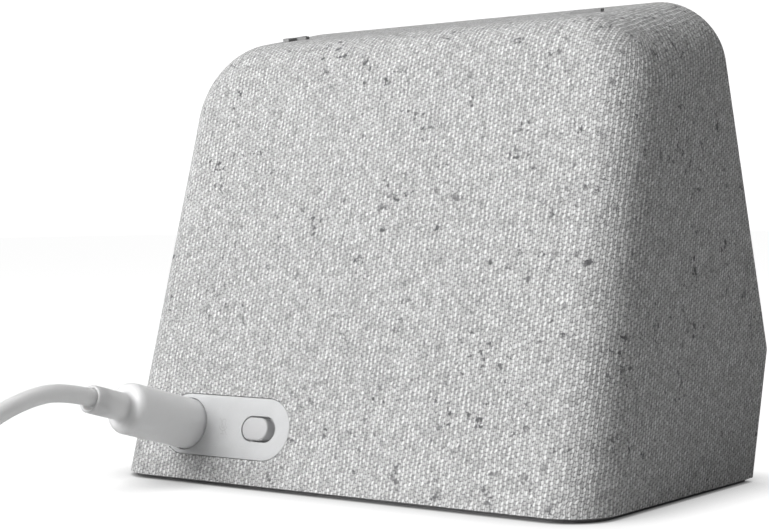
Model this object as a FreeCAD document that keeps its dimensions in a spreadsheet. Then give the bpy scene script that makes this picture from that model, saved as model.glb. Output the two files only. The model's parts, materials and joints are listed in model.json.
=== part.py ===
import FreeCAD, Part

import math
import os

import Sketcher

# Bedside smart display: a fabric-covered wedge with a 4 inch screen, two volume keys on top,
# a mute slider and a power lead at the back. Millimetres; +X is to the right of someone who
# looks at the screen, the screen faces -Y and the display stands on Z = 0.

V = FreeCAD.Vector

SIZES = {
    # outer form: a five-sided side profile, the sides leaning inwards
    "case_width": 113.5,
    "case_depth": 71.4,
    "case_height": 93.45,
    "knee_height": 25.25,
    "back_run": 24.2,
    "top_fall": 5.55,
    "screen_run": 17.5,
    "undercut_run": 8.3,
    "side_lean": 1.45,
    "corner_back": 17.9,
    "corner_front": 13.0,
    "back_rim": 9.5,
    "front_rim": 2.0,
    "fabric_thickness": 0.8,
    "housing_wall": 2.2,
    "slip_gap": 0.1,
    "running_gap": 0.2,
    "pin_gap": 0.05,
    # base
    "pad_height": 0.5,
    "flange_height": 0.4,
    "flange_inset": 1.0,
    "plug_height": 2.0,
    "pad_inset": 1.4,
    "contact_radius": 1.0,
    "contact_pitch": 6.0,
    "contact_reach": 0.1,
    "contact_place": 6.0,
    "contact_window": 24.0,
    "contact_window_depth": 9.0,
    "base_screw_inset": 7.75,
    "base_screw_front": -17.0,
    "base_screw_back": 24.0,
    "boss_side": 8.0,
    "base_boss_height": 7.0,
    # screen stack, measured from the screen plane
    "opening_margin": 2.4,
    "opening_corner_low": 9.0,
    "opening_corner_high": 10.6,
    "bezel_rim": 1.1,
    "bezel_recess": 0.05,
    "glass_recess": 0.2,
    "glass_thickness": 1.1,
    "panel_width": 93.0,
    "panel_height": 57.0,
    "panel_thickness": 1.7,
    "panel_middle": 34.6,
    "tray_lip": 0.7,
    "tray_thickness": 1.6,
    "bezel_window_gap": 0.3,
    "foam_gap": 0.5,
    "chassis_thickness": 1.2,
    "chassis_inset": 0.6,
    "chassis_screw_inset": 7.05,
    "chassis_screw_low": 12.0,
    "chassis_screw_high": 58.0,
    "ledge_depth": 7.0,
    "sensor_width": 2.2,
    "sensor_height": 1.4,
    "sensor_thickness": 0.9,
    "sensor_place": 65.2,
    # main board and what it carries
    "standoff_height": 2.0,
    "standoff_radius": 2.2,
    "board_width": 78.0,
    "board_length": 46.0,
    "board_low": 12.0,
    "board_thickness": 1.2,
    "board_corner": 2.0,
    "board_screw_edge": 3.0,
    "shield_side": 24.0,
    "shield_thickness": 2.0,
    "radio_width": 16.0,
    "radio_length": 14.0,
    "radio_thickness": 1.8,
    "thermal_side": 18.0,
    "thermal_thickness": 0.5,
    "spreader_width": 56.0,
    "spreader_length": 36.0,
    "spreader_thickness": 1.0,
    # port panel, its slider and the power jack, measured on the back plane
    "port_low": 5.83,
    "port_height": 12.12,
    "port_left": 11.19,
    "port_right": 44.05,
    "port_thickness": 1.55,
    "port_ledge": 1.2,
    "window_length": 8.55,
    "window_height": 5.0,
    "window_place": 19.05,
    "knob_length": 6.5,
    "knob_height": 4.45,
    "knob_place": 19.54,
    "knob_proud": 0.4,
    "knob_travel": 1.2,
    "knob_flange": 1.0,
    "flange_length": 9.6,
    "flange_width": 6.3,
    "lever_side": 1.6,
    "lever_length": 2.4,
    "lever_bite": 0.8,
    "switch_length": 9.4,
    "switch_height": 7.0,
    "switch_depth": 4.2,
    "plug_place": 38.0,
    "plug_radius": 5.05,
    "plug_hole_gap": 0.15,
    "jack_side": 9.0,
    "jack_length": 12.0,
    "jack_bore_depth": 10.0,
    "sleeve_radius": 2.75,
    "sleeve_bore": 1.05,
    "sleeve_length": 9.2,
    "pin_radius": 1.0,
    "port_board_thickness": 1.0,
    "port_board_left": 12.0,
    "port_board_right": 48.5,
    "port_board_gap": 0.3,
    "port_board_far": 15.0,
    "port_screw_left": 28.5,
    "port_screw_right": 45.5,
    "port_screw_depth": 8.5,
    "rib_width": 6.0,
    "rib_height": 5.0,
    "rib_depth": 10.0,
    # volume keys, measured on the top plane
    "key_place": 35.8,
    "key_run": 18.2,
    "key_bar": 1.2,
    "plus_span": 6.4,
    "minus_length": 6.7,
    "key_proud": 0.6,
    "key_travel": 0.4,
    "key_flange": 7.6,
    "key_flange_gap": 0.3,
    "key_flange_thickness": 1.0,
    "key_board_depth": 4.0,
    "key_board_length": 92.0,
    "key_board_width": 11.0,
    "key_board_thickness": 1.0,
    "tact_side": 4.5,
    "tact_height": 1.9,
    "plunger_radius": 1.1,
    "plunger_reach": 0.6,
    "key_screw_x": 25.0,
    "key_boss_radius": 2.6,
    "mic_place": 14.0,
    "mic_width": 3.5,
    "mic_length": 2.7,
    "mic_height": 1.0,
    "mic_hole": 0.75,
    "boot_radius": 2.2,
    # speaker, measured on the undercut plane
    "speaker_middle": -12.6,
    "speaker_width": 42.0,
    "speaker_height": 19.6,
    "gasket_width": 2.0,
    "gasket_thickness": 0.8,
    "frame_flange": 1.0,
    "tub_width": 37.0,
    "tub_height": 15.4,
    "tub_depth": 6.0,
    "tub_wall": 1.0,
    "surround_width": 3.2,
    "surround_thickness": 0.8,
    "cone_thickness": 0.6,
    "coil_radius": 3.4,
    "magnet_radius": 6.5,
    "magnet_thickness": 6.0,
    "box_width": 80.0,
    "box_height": 20.4,
    "box_depth": 25.0,
    "box_wall": 1.6,
    "ear_width": 98.0,
    "ear_height": 9.0,
    "speaker_screw_x": 44.5,
    "speaker_boss": 3.0,
    "grille_hole": 1.0,
    "grille_pitch": 3.6,
    # antenna
    "antenna_thickness": 0.3,
    "antenna_length": 24.0,
    "antenna_height": 10.0,
    "antenna_low": 50.0,
    "antenna_front": -14.0,
    # screws: head radius, head height, shank radius
    "large_head": 2.0,
    "large_head_height": 1.3,
    "large_shank": 1.2,
    "large_length": 7.0,
    "small_head": 1.5,
    "small_head_height": 1.0,
    "small_shank": 0.8,
    "small_length": 3.0,
    "ribbon_thickness": 0.2,
    # power lead
    "plug_length": 18.0,
    "plug_rounding": 1.5,
    "relief_radius": 2.72,
    "relief_length": 9.1,
    "relief_bore": 2.1,
    "relief_bore_depth": 3.0,
    "cord_radius": 1.7,
    "cord_rise": 0.33,
    "coil_mean_radius": 18.5,
    "coil_tracks": 3,
    "coil_layers": 4,
    "coil_track_pitch": 3.5,
    "coil_middle_y": 131.0,
    "tie_width": 8.0,
    "tie_thickness": 0.7,
    "tie_slack": 0.7,
    "adapter_length": 42.0,
    "adapter_width": 26.0,
    "adapter_height": 26.0,
    "adapter_rounding": 3.0,
    "adapter_left": 44.0,
    "adapter_middle_y": 106.0,
    "adapter_relief_length": 7.0,
    "adapter_relief_wide": 3.4,
    "adapter_relief_narrow": 2.4,
    "blade_length": 16.0,
    "blade_width": 6.3,
    "blade_thickness": 1.5,
    "blade_pitch": 12.7,
    "blade_hole": 1.6,
}

doc = FreeCAD.newDocument("SmartDisplay")
sheet = doc.addObject("Spreadsheet::Sheet", "Sizes")
for row, (name, number) in enumerate(SIZES.items(), 1):
    sheet.set(f"A{row}", name)
    sheet.set(f"B{row}", str(number))
    sheet.setAlias(f"B{row}", name)
doc.recompute()


class Size:
    """A length that carries its number and the expression that gives it from the sheet."""

    def __init__(self, number, text):
        self.number, self.text = float(number), text

    @staticmethod
    def of(value):
        return value if isinstance(value, Size) else Size(value, str(value))

    def __add__(self, other):
        other = Size.of(other)
        return Size(self.number + other.number, f"({self.text} + {other.text})")

    def __sub__(self, other):
        other = Size.of(other)
        return Size(self.number - other.number, f"({self.text} - {other.text})")

    def __mul__(self, factor):
        return Size(self.number * factor, f"({self.text} * {factor})")

    def __truediv__(self, divisor):
        return Size(self.number / divisor, f"({self.text} / {divisor})")

    def __neg__(self):
        return Size(-self.number, f"(0 - {self.text})")

    def __float__(self):
        return self.number


class Sizes:
    """Every cell of the sheet as a Size, by its alias."""

    def __getattr__(self, name):
        return Size(sheet.get(name), f"Sizes.{name}")


S = Sizes()
SUB_PARTS = {}


def keep(thing, label):
    """Registers a document object as the sub-part of that name."""
    thing.Label = label
    SUB_PARTS[label] = thing
    return thing


# ---------------------------------------------------------------- planes of the outer form


class Face:
    """A plane of the case with its own axes: x along X, y up the face, z straight out of it."""

    def __init__(self, origin, up, flipped=False):
        self.origin, self.up = origin, up.normalize()
        self.right = V(-1, 0, 0) if flipped else V(1, 0, 0)
        self.out = self.right.cross(self.up)

    def at(self, x, y, z=0.0):
        """The point at x and y on the face and z above it. x is always the model's X."""
        side = self.right * (float(x) * self.right.x)
        return self.origin + side + self.up * float(y) + self.out * float(z)

    def place(self, x=0.0, y=0.0, z=0.0):
        turn = FreeCAD.Rotation(self.right, self.up, self.out, "ZXY")
        return FreeCAD.Placement(self.at(x, y, z), turn)


HALF_DEPTH = float(S.case_depth) / 2
SKIRT = float(S.pad_height + S.flange_height)
LEAN = math.radians(float(S.side_lean))
BACK_BOTTOM = V(0, HALF_DEPTH, 0)
BACK_TOP = V(0, HALF_DEPTH - float(S.back_run), float(S.case_height - S.top_fall))
FRONT_TOP = V(0, -HALF_DEPTH + float(S.screen_run), float(S.case_height))
KNEE = V(0, -HALF_DEPTH, float(S.knee_height))
FRONT_BOTTOM = V(0, -HALF_DEPTH + float(S.undercut_run), 0)

BACK = Face(BACK_BOTTOM, BACK_TOP - BACK_BOTTOM, flipped=True)
SCREEN = Face(KNEE, FRONT_TOP - KNEE)
TOP = Face(FRONT_TOP, BACK_TOP - FRONT_TOP)
UNDERCUT = Face(KNEE, KNEE - FRONT_BOTTOM)
FLOOR = Face(V(0, 0, 0), V(0, 1, 0))
SCREEN_LENGTH = (FRONT_TOP - KNEE).Length
FAR = 300.0


def rounded_wire(corners, radii):
    """A closed wire through the corners, each rounded by a tangent arc of its radius."""
    points = []
    edges = []
    for i, corner in enumerate(corners):
        radius = radii[i]
        back = (corners[i - 1] - corner).normalize()
        ahead = (corners[(i + 1) % len(corners)] - corner).normalize()
        half = back.getAngle(ahead) / 2
        if radius <= 0:
            points.append((corner, corner))
            continue
        reach = radius / math.tan(half)
        middle = (back + ahead).normalize()
        crown = corner + middle * (radius / math.sin(half) - radius)
        start, stop = corner + back * reach, corner + ahead * reach
        edges.append((i, Part.Arc(start, crown, stop).toShape()))
        points.append((start, stop))
    arcs = dict(edges)
    ordered = []
    for i in range(len(corners)):
        if i in arcs:
            ordered.append(arcs[i])
        following = points[(i + 1) % len(corners)][0]
        ordered.append(Part.LineSegment(points[i][1], following).toShape())
    return Part.Wire(ordered)


def form_width(z, inset):
    """Half the form's width at height z, its sides moved in by the inset."""
    return float(S.case_width) / 2 - z * math.tan(LEAN) - inset / math.cos(LEAN)


def elevation(y, inset):
    """The front elevation at one y: leaning sides, the top's height there and its corners."""
    slope = TOP.up.z / TOP.up.y
    high = FRONT_TOP.z + slope * (y - FRONT_TOP.y) - inset / TOP.out.z
    share = (y - FRONT_TOP.y) / (BACK_TOP.y - FRONT_TOP.y)
    corner = float(S.corner_front) + share * float(S.corner_back - S.corner_front) - inset
    low = -FAR / 10
    corners = [
        V(-form_width(low, inset), y, low),
        V(form_width(low, inset), y, low),
        V(form_width(high, inset), y, high),
        V(-form_width(high, inset), y, high),
    ]
    return rounded_wire(corners, [0, 0, corner, corner])


def side_profile(inset, low):
    """The side view's polygon, its four upper sides moved in by the inset, cut at height low."""
    sides = [(BACK, BACK_BOTTOM), (TOP, FRONT_TOP), (SCREEN, KNEE), (UNDERCUT, KNEE)]
    lines = [(spot - face.out * inset, face.up) for face, spot in sides]
    lines = [(V(0, 0, low), V(0, 1, 0))] + lines + [(V(0, 0, low), V(0, 1, 0))]
    corners = []
    for (spot, along), (other, across) in zip(lines, lines[1:]):
        gap = other - spot
        turn = along.y * across.z - along.z * across.y
        corners.append(spot + along * ((gap.y * across.z - gap.z * across.y) / turn))
    return Part.makePolygon(corners + corners[:1])


def lies_on(edge, spot, normal):
    """True if the whole edge lies in the plane through the spot."""
    return all(abs((p - spot).dot(normal)) < 1e-4 for p in edge.discretize(5))


def form(inset, low):
    """The outer form moved in by the inset, with rounded rims, down to height low."""
    reach = HALF_DEPTH + 5
    broad = Part.makeLoft([elevation(-reach, inset), elevation(reach, inset)], True, True)
    slab = Part.Face(side_profile(inset, low)).extrude(V(FAR, 0, 0))
    slab.translate(V(-FAR / 2, 0, 0))
    solid = broad.common(slab).Solids[0]
    ground = V(0, 0, low)
    rims = [([BACK], float(S.back_rim)), ([SCREEN, UNDERCUT], float(S.front_rim))]
    for faces, radius in rims:
        edges = [
            edge
            for edge in solid.Edges
            if any(lies_on(edge, f.origin - f.out * inset, f.out) for f in faces)
            and not lies_on(edge, ground, V(0, 0, 1))
        ]
        if radius > inset:
            solid = solid.makeFillet(radius - inset, edges)
    return solid


def slice_between(solid, low, high):
    """The part of a solid between two heights."""
    block = Part.makeBox(FAR, FAR, high - low, V(-FAR / 2, -FAR / 2, low))
    return solid.common(block)


def screen_outline(inset, depth):
    """The front opening's rounded outline, made smaller by the inset, behind the screen."""
    margin = float(S.opening_margin) + inset
    low, high = margin, SCREEN_LENGTH - margin
    heights = [KNEE.z + SCREEN.up.z * run for run in (low, low, high, high)]
    halves = [form_width(z, margin) for z in heights]
    corners = [
        SCREEN.at(side * half, run, -depth)
        for side, half, run in zip((-1, 1, 1, -1), halves, (low, low, high, high))
    ]
    low_corner = float(S.opening_corner_low) - inset
    high_corner = float(S.opening_corner_high) - inset
    return rounded_wire(corners, [low_corner, low_corner, high_corner, high_corner])


def screen_plate(inset, shallow, deep):
    """A plate of the opening's outline between two depths behind the screen plane."""
    return Part.Face(screen_outline(inset, shallow)).extrude(SCREEN.out * -(deep - shallow))


def drill(face, x, y, low, high, radius):
    """A plain cylinder square to a face, from z = low to z = high over it."""
    return Part.makeCylinder(float(radius), high - low, face.at(x, y, low), face.out)


def chunk(face, x_range, y_range, z_range):
    """A plain block along a face's own axes."""
    xs, ys, zs = (sorted(map(float, r)) for r in (x_range, y_range, z_range))
    block = Part.makeBox(xs[1] - xs[0], ys[1] - ys[0], zs[1] - zs[0])
    start = xs[0] if face.right.x > 0 else xs[1]
    block.Placement = face.place(start, ys[0], zs[0])
    return block


def shaped(label, shape):
    """A sub-part whose shape comes from the outer form."""
    thing = doc.addObject("Part::Feature", label)
    thing.Shape = shape
    thing.Placement = FreeCAD.Placement()
    return keep(thing, label)


# ---------------------------------------------------------------- sketches, pads and pockets


def bind(sketch, kind, *arguments):
    """Adds a constraint whose last argument is a Size, tied to the sheet."""
    size = Size.of(arguments[-1])
    number = sketch.addConstraint(Sketcher.Constraint(kind, *arguments[:-1], size.number))
    sketch.setExpression(f"Constraints[{number}]", size.text)


def rectangle(left, right, low, high, corner=None):
    """An outline with straight sides and, if a corner is given, rounded corners."""

    def draw(sketch):
        x0, x1, y0, y1 = (float(side) for side in (left, right, low, high))
        r = float(corner) if corner else 0.0
        lines = [
            (V(x0 + r, y0, 0), V(x1 - r, y0, 0)),
            (V(x1, y0 + r, 0), V(x1, y1 - r, 0)),
            (V(x1 - r, y1, 0), V(x0 + r, y1, 0)),
            (V(x0, y1 - r, 0), V(x0, y0 + r, 0)),
        ]
        sketch.addGeometry([Part.LineSegment(*ends) for ends in lines], False)
        if corner:
            centres = [(x1 - r, y0 + r), (x1 - r, y1 - r), (x0 + r, y1 - r), (x0 + r, y0 + r)]
            for turn, (x, y) in enumerate(centres):
                start = (turn - 1) * math.pi / 2
                circle = Part.Circle(V(x, y, 0), V(0, 0, 1), r)
                sketch.addGeometry(Part.ArcOfCircle(circle, start, start + math.pi / 2), False)
            for line in range(4):
                arc = line + 4
                sketch.addConstraint(Sketcher.Constraint("Tangent", line, 2, arc, 1))
                sketch.addConstraint(Sketcher.Constraint("Tangent", arc, 2, (line + 1) % 4, 1))
            for arc in (5, 6, 7):
                sketch.addConstraint(Sketcher.Constraint("Equal", 4, arc))
            bind(sketch, "Radius", 4, corner)
        else:
            for line in range(4):
                joint = Sketcher.Constraint("Coincident", line, 2, (line + 1) % 4, 1)
                sketch.addConstraint(joint)
        for line, direction in enumerate(("Horizontal", "Vertical") * 2):
            sketch.addConstraint(Sketcher.Constraint(direction, line))
        bind(sketch, "DistanceY", -1, 1, 0, 1, low)
        bind(sketch, "DistanceX", -1, 1, 1, 1, right)
        bind(sketch, "DistanceY", -1, 1, 2, 1, high)
        bind(sketch, "DistanceX", -1, 1, 3, 1, left)

    return draw


def pill(left, right, middle, height):
    """An outline with straight long sides and half-round ends."""

    def draw(sketch):
        r = float(height) / 2
        x0, x1, y = float(left) + r, float(right) - r, float(middle)
        low = Part.LineSegment(V(x0, y - r, 0), V(x1, y - r, 0))
        high = Part.LineSegment(V(x1, y + r, 0), V(x0, y + r, 0))
        ends = [
            Part.ArcOfCircle(Part.Circle(V(x, y, 0), V(0, 0, 1), r), start, start + math.pi)
            for x, start in ((x1, -math.pi / 2), (x0, math.pi / 2))
        ]
        sketch.addGeometry([low, ends[0], high, ends[1]], False)
        for one in range(4):
            joint = Sketcher.Constraint("Tangent", one, 2, (one + 1) % 4, 1)
            sketch.addConstraint(joint)
        bind(sketch, "DistanceX", -1, 1, 3, 3, Size.of(left) + Size.of(height) / 2)
        bind(sketch, "DistanceY", -1, 1, 3, 3, middle)
        bind(sketch, "DistanceX", -1, 1, 1, 3, Size.of(right) - Size.of(height) / 2)
        bind(sketch, "DistanceY", -1, 1, 1, 3, middle)
        bind(sketch, "Radius", 1, Size.of(height) / 2)

    return draw


def circle(x, y, radius):
    """A round outline."""

    def draw(sketch):
        sketch.addGeometry(Part.Circle(V(float(x), float(y), 0), V(0, 0, 1), float(radius)), False)
        bind(sketch, "DistanceX", -1, 1, 0, 3, x)
        bind(sketch, "DistanceY", -1, 1, 0, 3, y)
        bind(sketch, "Radius", 0, radius)

    return draw


def polygon(corners):
    """An outline through corners given as pairs of sizes."""

    def draw(sketch):
        spots = [V(float(x), float(y), 0) for x, y in corners]
        for i, spot in enumerate(spots):
            sketch.addGeometry(Part.LineSegment(spot, spots[(i + 1) % len(spots)]), False)
        for i in range(len(spots)):
            following = (i + 1) % len(spots)
            sketch.addConstraint(Sketcher.Constraint("Coincident", i, 2, following, 1))
        for i, (x, y) in enumerate(corners):
            bind(sketch, "DistanceX", -1, 1, i, 1, x)
            bind(sketch, "DistanceY", -1, 1, i, 1, y)

    return draw


def body_on(face, label, x=0.0, y=0.0):
    """An empty PartDesign body standing on a face of the case."""
    body = doc.addObject("PartDesign::Body", label)
    body.Placement = face.place(x, y)
    return body


def sketch_in(body, outline, height):
    """A sketch parallel to the body's own XY plane at a height over it."""
    count = sum(o.isDerivedFrom("Sketcher::SketchObject") for o in body.Group)
    sketch = body.newObject("Sketcher::SketchObject", f"{body.Name}_outline_{count}")
    plane = [p for p in body.Origin.OriginFeatures if p.Role == "XY_Plane"][0]
    sketch.AttachmentSupport = (plane, [""])
    sketch.MapMode = "FlatFace"
    sketch.AttachmentOffset = FreeCAD.Placement(V(0, 0, float(height)), FreeCAD.Rotation())
    sketch.setExpression("AttachmentOffset.Base.z", Size.of(height).text)
    outline(sketch)
    return sketch


def pad(body, outline, low, high):
    """Adds the outline between two heights over the body's plane."""
    low, high = Size.of(low), Size.of(high)
    sketch = sketch_in(body, outline, low)
    feature = body.newObject("PartDesign::Pad", f"{sketch.Name}_pad")
    feature.Profile = sketch
    feature.Length = float(high - low)
    feature.setExpression("Length", (high - low).text)
    doc.recompute()
    return feature


def pocket(body, outline, low, high):
    """Cuts the outline between two heights over the body's plane."""
    low, high = Size.of(low), Size.of(high)
    before = body.Shape.Volume
    sketch = sketch_in(body, outline, high)
    feature = body.newObject("PartDesign::Pocket", f"{sketch.Name}_pocket")
    feature.Profile = sketch
    feature.Length = float(high - low)
    feature.setExpression("Length", (high - low).text)
    doc.recompute()
    if body.Shape.Volume >= before - 1e-6:
        raise RuntimeError(f"a pocket in {body.Name} cuts nothing")
    return feature


def plate(face, label, outline, low, high, cuts=()):
    """A body padded from one outline, with pockets given as (outline, low, high)."""
    body = body_on(face, label)
    pad(body, outline, low, high)
    for cut in cuts:
        pocket(body, *cut)
    return keep(body, label)


def cylinder(face, label, x, y, low, high, radius):
    """A Part cylinder square to a face."""
    thing = doc.addObject("Part::Cylinder", label)
    thing.setExpression("Radius", Size.of(radius).text)
    thing.setExpression("Height", (Size.of(high) - low).text)
    thing.Placement = face.place(x, y, low)
    thing.Label = label
    return thing


def block(face, label, left, right, near, far, low, high):
    """A Part box along a face's own axes."""
    thing = doc.addObject("Part::Box", label)
    thing.setExpression("Length", (Size.of(right) - left).text)
    thing.setExpression("Width", (Size.of(far) - near).text)
    thing.setExpression("Height", (Size.of(high) - low).text)
    start = left if face.right.x > 0 else right
    thing.Placement = face.place(start, near, low)
    thing.Label = label
    return thing


def joined(label, pieces):
    """Separate solids or touching primitives kept as one sub-part."""
    thing = doc.addObject("Part::Compound", label)
    thing.Links = pieces
    return keep(thing, label)


def fused(label, pieces):
    thing = doc.addObject("Part::MultiFuse", label)
    thing.Shapes = pieces
    thing.Label = label
    return thing


def cut(label, base, tool):
    thing = doc.addObject("Part::Cut", label)
    thing.Base = base
    thing.Tool = tool
    thing.Label = label
    return thing


def screws(label, face, spots, head_at, sign, head, head_height, shank, length):
    """Round-headed screws in a face's axes. sign is +1 where the shank points out of it."""
    made = []
    for i, (x, y) in enumerate(spots):
        head_at = Size.of(head_at)
        under = head_at + head_height * sign
        tip = under + length * sign
        low, high = (head_at, under) if sign > 0 else (under, head_at)
        top = cylinder(face, f"{label}_head_{i}", x, y, low, high, head)
        low, high = (under, tip) if sign > 0 else (tip, under)
        stem = cylinder(face, f"{label}_shank_{i}", x, y, low, high, shank)
        made.append(fused(f"{label}_one_{i}", [top, stem]))
    return joined(label, made)


# ---------------------------------------------------------------- casing

FABRIC = float(S.fabric_thickness)
WALL = float(S.fabric_thickness + S.housing_wall)
# The key board hangs this far below the top: its own depth starts at the inside of the wall.
BOARD_DEPTH = S.fabric_thickness + S.housing_wall + S.key_board_depth
PORT_MIDDLE = S.port_low + S.port_height / 2
CASE = form(0, SKIRT)
CORE = form(FABRIC, SKIRT)
HOLLOW = form(WALL, SKIRT)
BOSS_LIMIT = form(FABRIC + float(S.housing_wall) / 2, SKIRT)


def pill_chunk(face, left, right, middle, height, low, high):
    """A plain pill-shaped block on a face, for openings in the form."""
    r = height / 2
    blocks = [chunk(face, (left + r, right - r), (middle - r, middle + r), (low, high))]
    blocks += [drill(face, x, middle, low, high, r) for x in (left + r, right - r)]
    return blocks[0].fuse(blocks[1:]).removeSplitter()


def key_holes(face, low, high):
    """The plus-shaped and bar-shaped openings of the two volume keys."""
    gap = float(S.running_gap)
    bar = float(S.key_bar) / 2 + gap
    arm = float(S.plus_span) / 2 + gap
    dash = float(S.minus_length) / 2 + gap
    x, run = float(S.key_place), float(S.key_run)
    return [
        chunk(face, (x - arm, x + arm), (run - bar, run + bar), (low, high)),
        chunk(face, (x - bar, x + bar), (run - arm, run + arm), (low, high)),
        chunk(face, (-x - dash, -x + dash), (run - bar, run + bar), (low, high)),
    ]


def make_fabric_cover():
    """The knitted sleeve: back, sides, top, undercut and the rim round the screen."""
    gap = float(S.running_gap)
    openings = [screen_plate(0, -5, 5)]
    openings.append(
        pill_chunk(
            BACK,
            float(S.port_left) - gap / 2,
            float(S.port_right) + gap / 2,
            float(PORT_MIDDLE),
            float(S.port_height) + gap,
            -5,
            5,
        )
    )
    openings += key_holes(TOP, -5, 5)
    shaped("fabric_cover", CASE.cut(CORE).cut(openings))


def base_screw_spots():
    x = S.case_width / 2 - S.base_screw_inset
    return [(side, y) for y in (S.base_screw_front, S.base_screw_back) for side in (-x, x)]


def chassis_screw_spots():
    x = S.case_width / 2 - S.chassis_screw_inset
    return [(side, y) for y in (S.chassis_screw_low, S.chassis_screw_high) for side in (-x, x)]


def wall_block(face, x, y, z_range):
    """A block round a screw's place that runs on outwards into the side wall."""
    half = float(S.boss_side) / 2
    side = math.copysign(half, float(x))
    columns = (float(x) - side, float(x) + 3 * side)
    return chunk(face, columns, (float(y) - half, float(y) + half), z_range)


def make_rear_housing():
    """The moulded shell under the fabric with its bosses, ledges, ribs and openings."""
    floor_top = SKIRT + float(S.plug_height)
    chassis_back = -float(CHASSIS_BACK)
    rise = (floor_top, floor_top + float(S.base_boss_height))
    bosses = [wall_block(FLOOR, x, y, rise) for x, y in base_screw_spots()]
    span = (chassis_back - float(S.ledge_depth), chassis_back)
    bosses += [wall_block(SCREEN, x, y, span) for x, y in chassis_screw_spots()]
    middle = float(S.key_run)
    for x in (-float(S.key_screw_x), float(S.key_screw_x)):
        low, high = -float(BOARD_DEPTH), -FABRIC - float(S.housing_wall) / 2
        bosses.append(drill(TOP, x, middle, low, high, S.key_boss_radius))
    board_top = float(PORT_BOARD_TOP)
    for x in (float(S.port_screw_left), float(S.port_screw_right)):
        wide = float(S.rib_width) / 2
        rows = (board_top, board_top + float(S.rib_height))
        depth = (-WALL - float(S.rib_depth), -FABRIC - float(S.housing_wall) / 2)
        bosses.append(chunk(BACK, (x - wide, x + wide), rows, depth))
    ear_front = -float(SPEAKER_FRONT + S.frame_flange)
    for x in (-float(S.speaker_screw_x), float(S.speaker_screw_x)):
        high = -FABRIC - float(S.housing_wall) / 2
        boss = drill(UNDERCUT, x, S.speaker_middle, ear_front, high, S.speaker_boss)
        bosses.append(boss)
    shell = CORE.cut(HOLLOW).fuse([boss.common(BOSS_LIMIT) for boss in bosses])
    shell = shell.removeSplitter()

    holes = [screen_plate(0, -5, float(CHASSIS_BACK))]
    gap = float(S.running_gap)
    left, right = float(S.port_left) - gap / 2, float(S.port_right) + gap / 2
    port = (float(PORT_MIDDLE), float(S.port_height) + gap)
    ledge = float(S.port_ledge)
    seat = -float(S.port_thickness + S.bezel_recess)
    holes.append(pill_chunk(BACK, left, right, *port, seat, 0))
    inner = (float(PORT_MIDDLE), float(S.port_height) + gap - 2 * ledge)
    holes.append(pill_chunk(BACK, left + ledge, right - ledge, *inner, -WALL - 1, 0))
    half = float(S.jack_side) / 2 + gap
    middle, jack = float(PORT_MIDDLE), float(S.plug_place)
    across, along = (jack - half, jack + half), (middle - half, middle + half)
    holes.append(chunk(BACK, across, along, (-WALL - 1, seat)))
    holes += key_holes(TOP, -WALL - 1, 0)
    middle = float(S.key_run)
    for x in (-float(S.mic_place), float(S.mic_place)):
        holes.append(drill(TOP, x, middle, -WALL - 1, 0, S.mic_hole))
    rows, columns = 3, 9
    for row in range(rows):
        for column in range(columns):
            x = (column - (columns - 1) / 2) * float(S.grille_pitch)
            y = float(S.speaker_middle) + (row - (rows - 1) / 2) * float(S.grille_pitch)
            holes.append(drill(UNDERCUT, x, y, -WALL - 1, 0, S.grille_hole))
    large = float(S.large_shank + S.pin_gap)
    small = float(S.small_shank + S.pin_gap)
    deep = float(S.large_length) + 0.5
    for x, y in base_screw_spots():
        holes.append(drill(FLOOR, x, y, floor_top - 1, BASE_SCREW_HEAD_TOP + deep, large))
    for x, y in chassis_screw_spots():
        holes.append(drill(SCREEN, x, y, -float(CHASSIS_FRONT) - deep, chassis_back + 1, large))
    for x in (-float(S.key_screw_x), float(S.key_screw_x)):
        low = -float(BOARD_DEPTH)
        holes.append(drill(TOP, x, middle, low - 1, low + float(S.small_length) - 0.5, small))
    for x in (float(S.port_screw_left), float(S.port_screw_right)):
        start = BACK.at(x, board_top - 1, -float(S.port_screw_depth))
        reach = float(S.small_length) + 1
        holes.append(Part.makeCylinder(small, reach, start, BACK.up))
    for x in (-float(S.speaker_screw_x), float(S.speaker_screw_x)):
        low, high = ear_front - 1, ear_front + float(S.small_length - S.box_wall) + 0.1
        holes.append(drill(UNDERCUT, x, S.speaker_middle, low, high, small))
    shaped("rear_housing", shell.cut(holes))


BASE_SCREW_HEAD_TOP = float(S.pad_height + S.large_head_height)


def contact_spots():
    return [(S.contact_pitch * side, S.contact_place) for side in (-1, 0, 1)]


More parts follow.
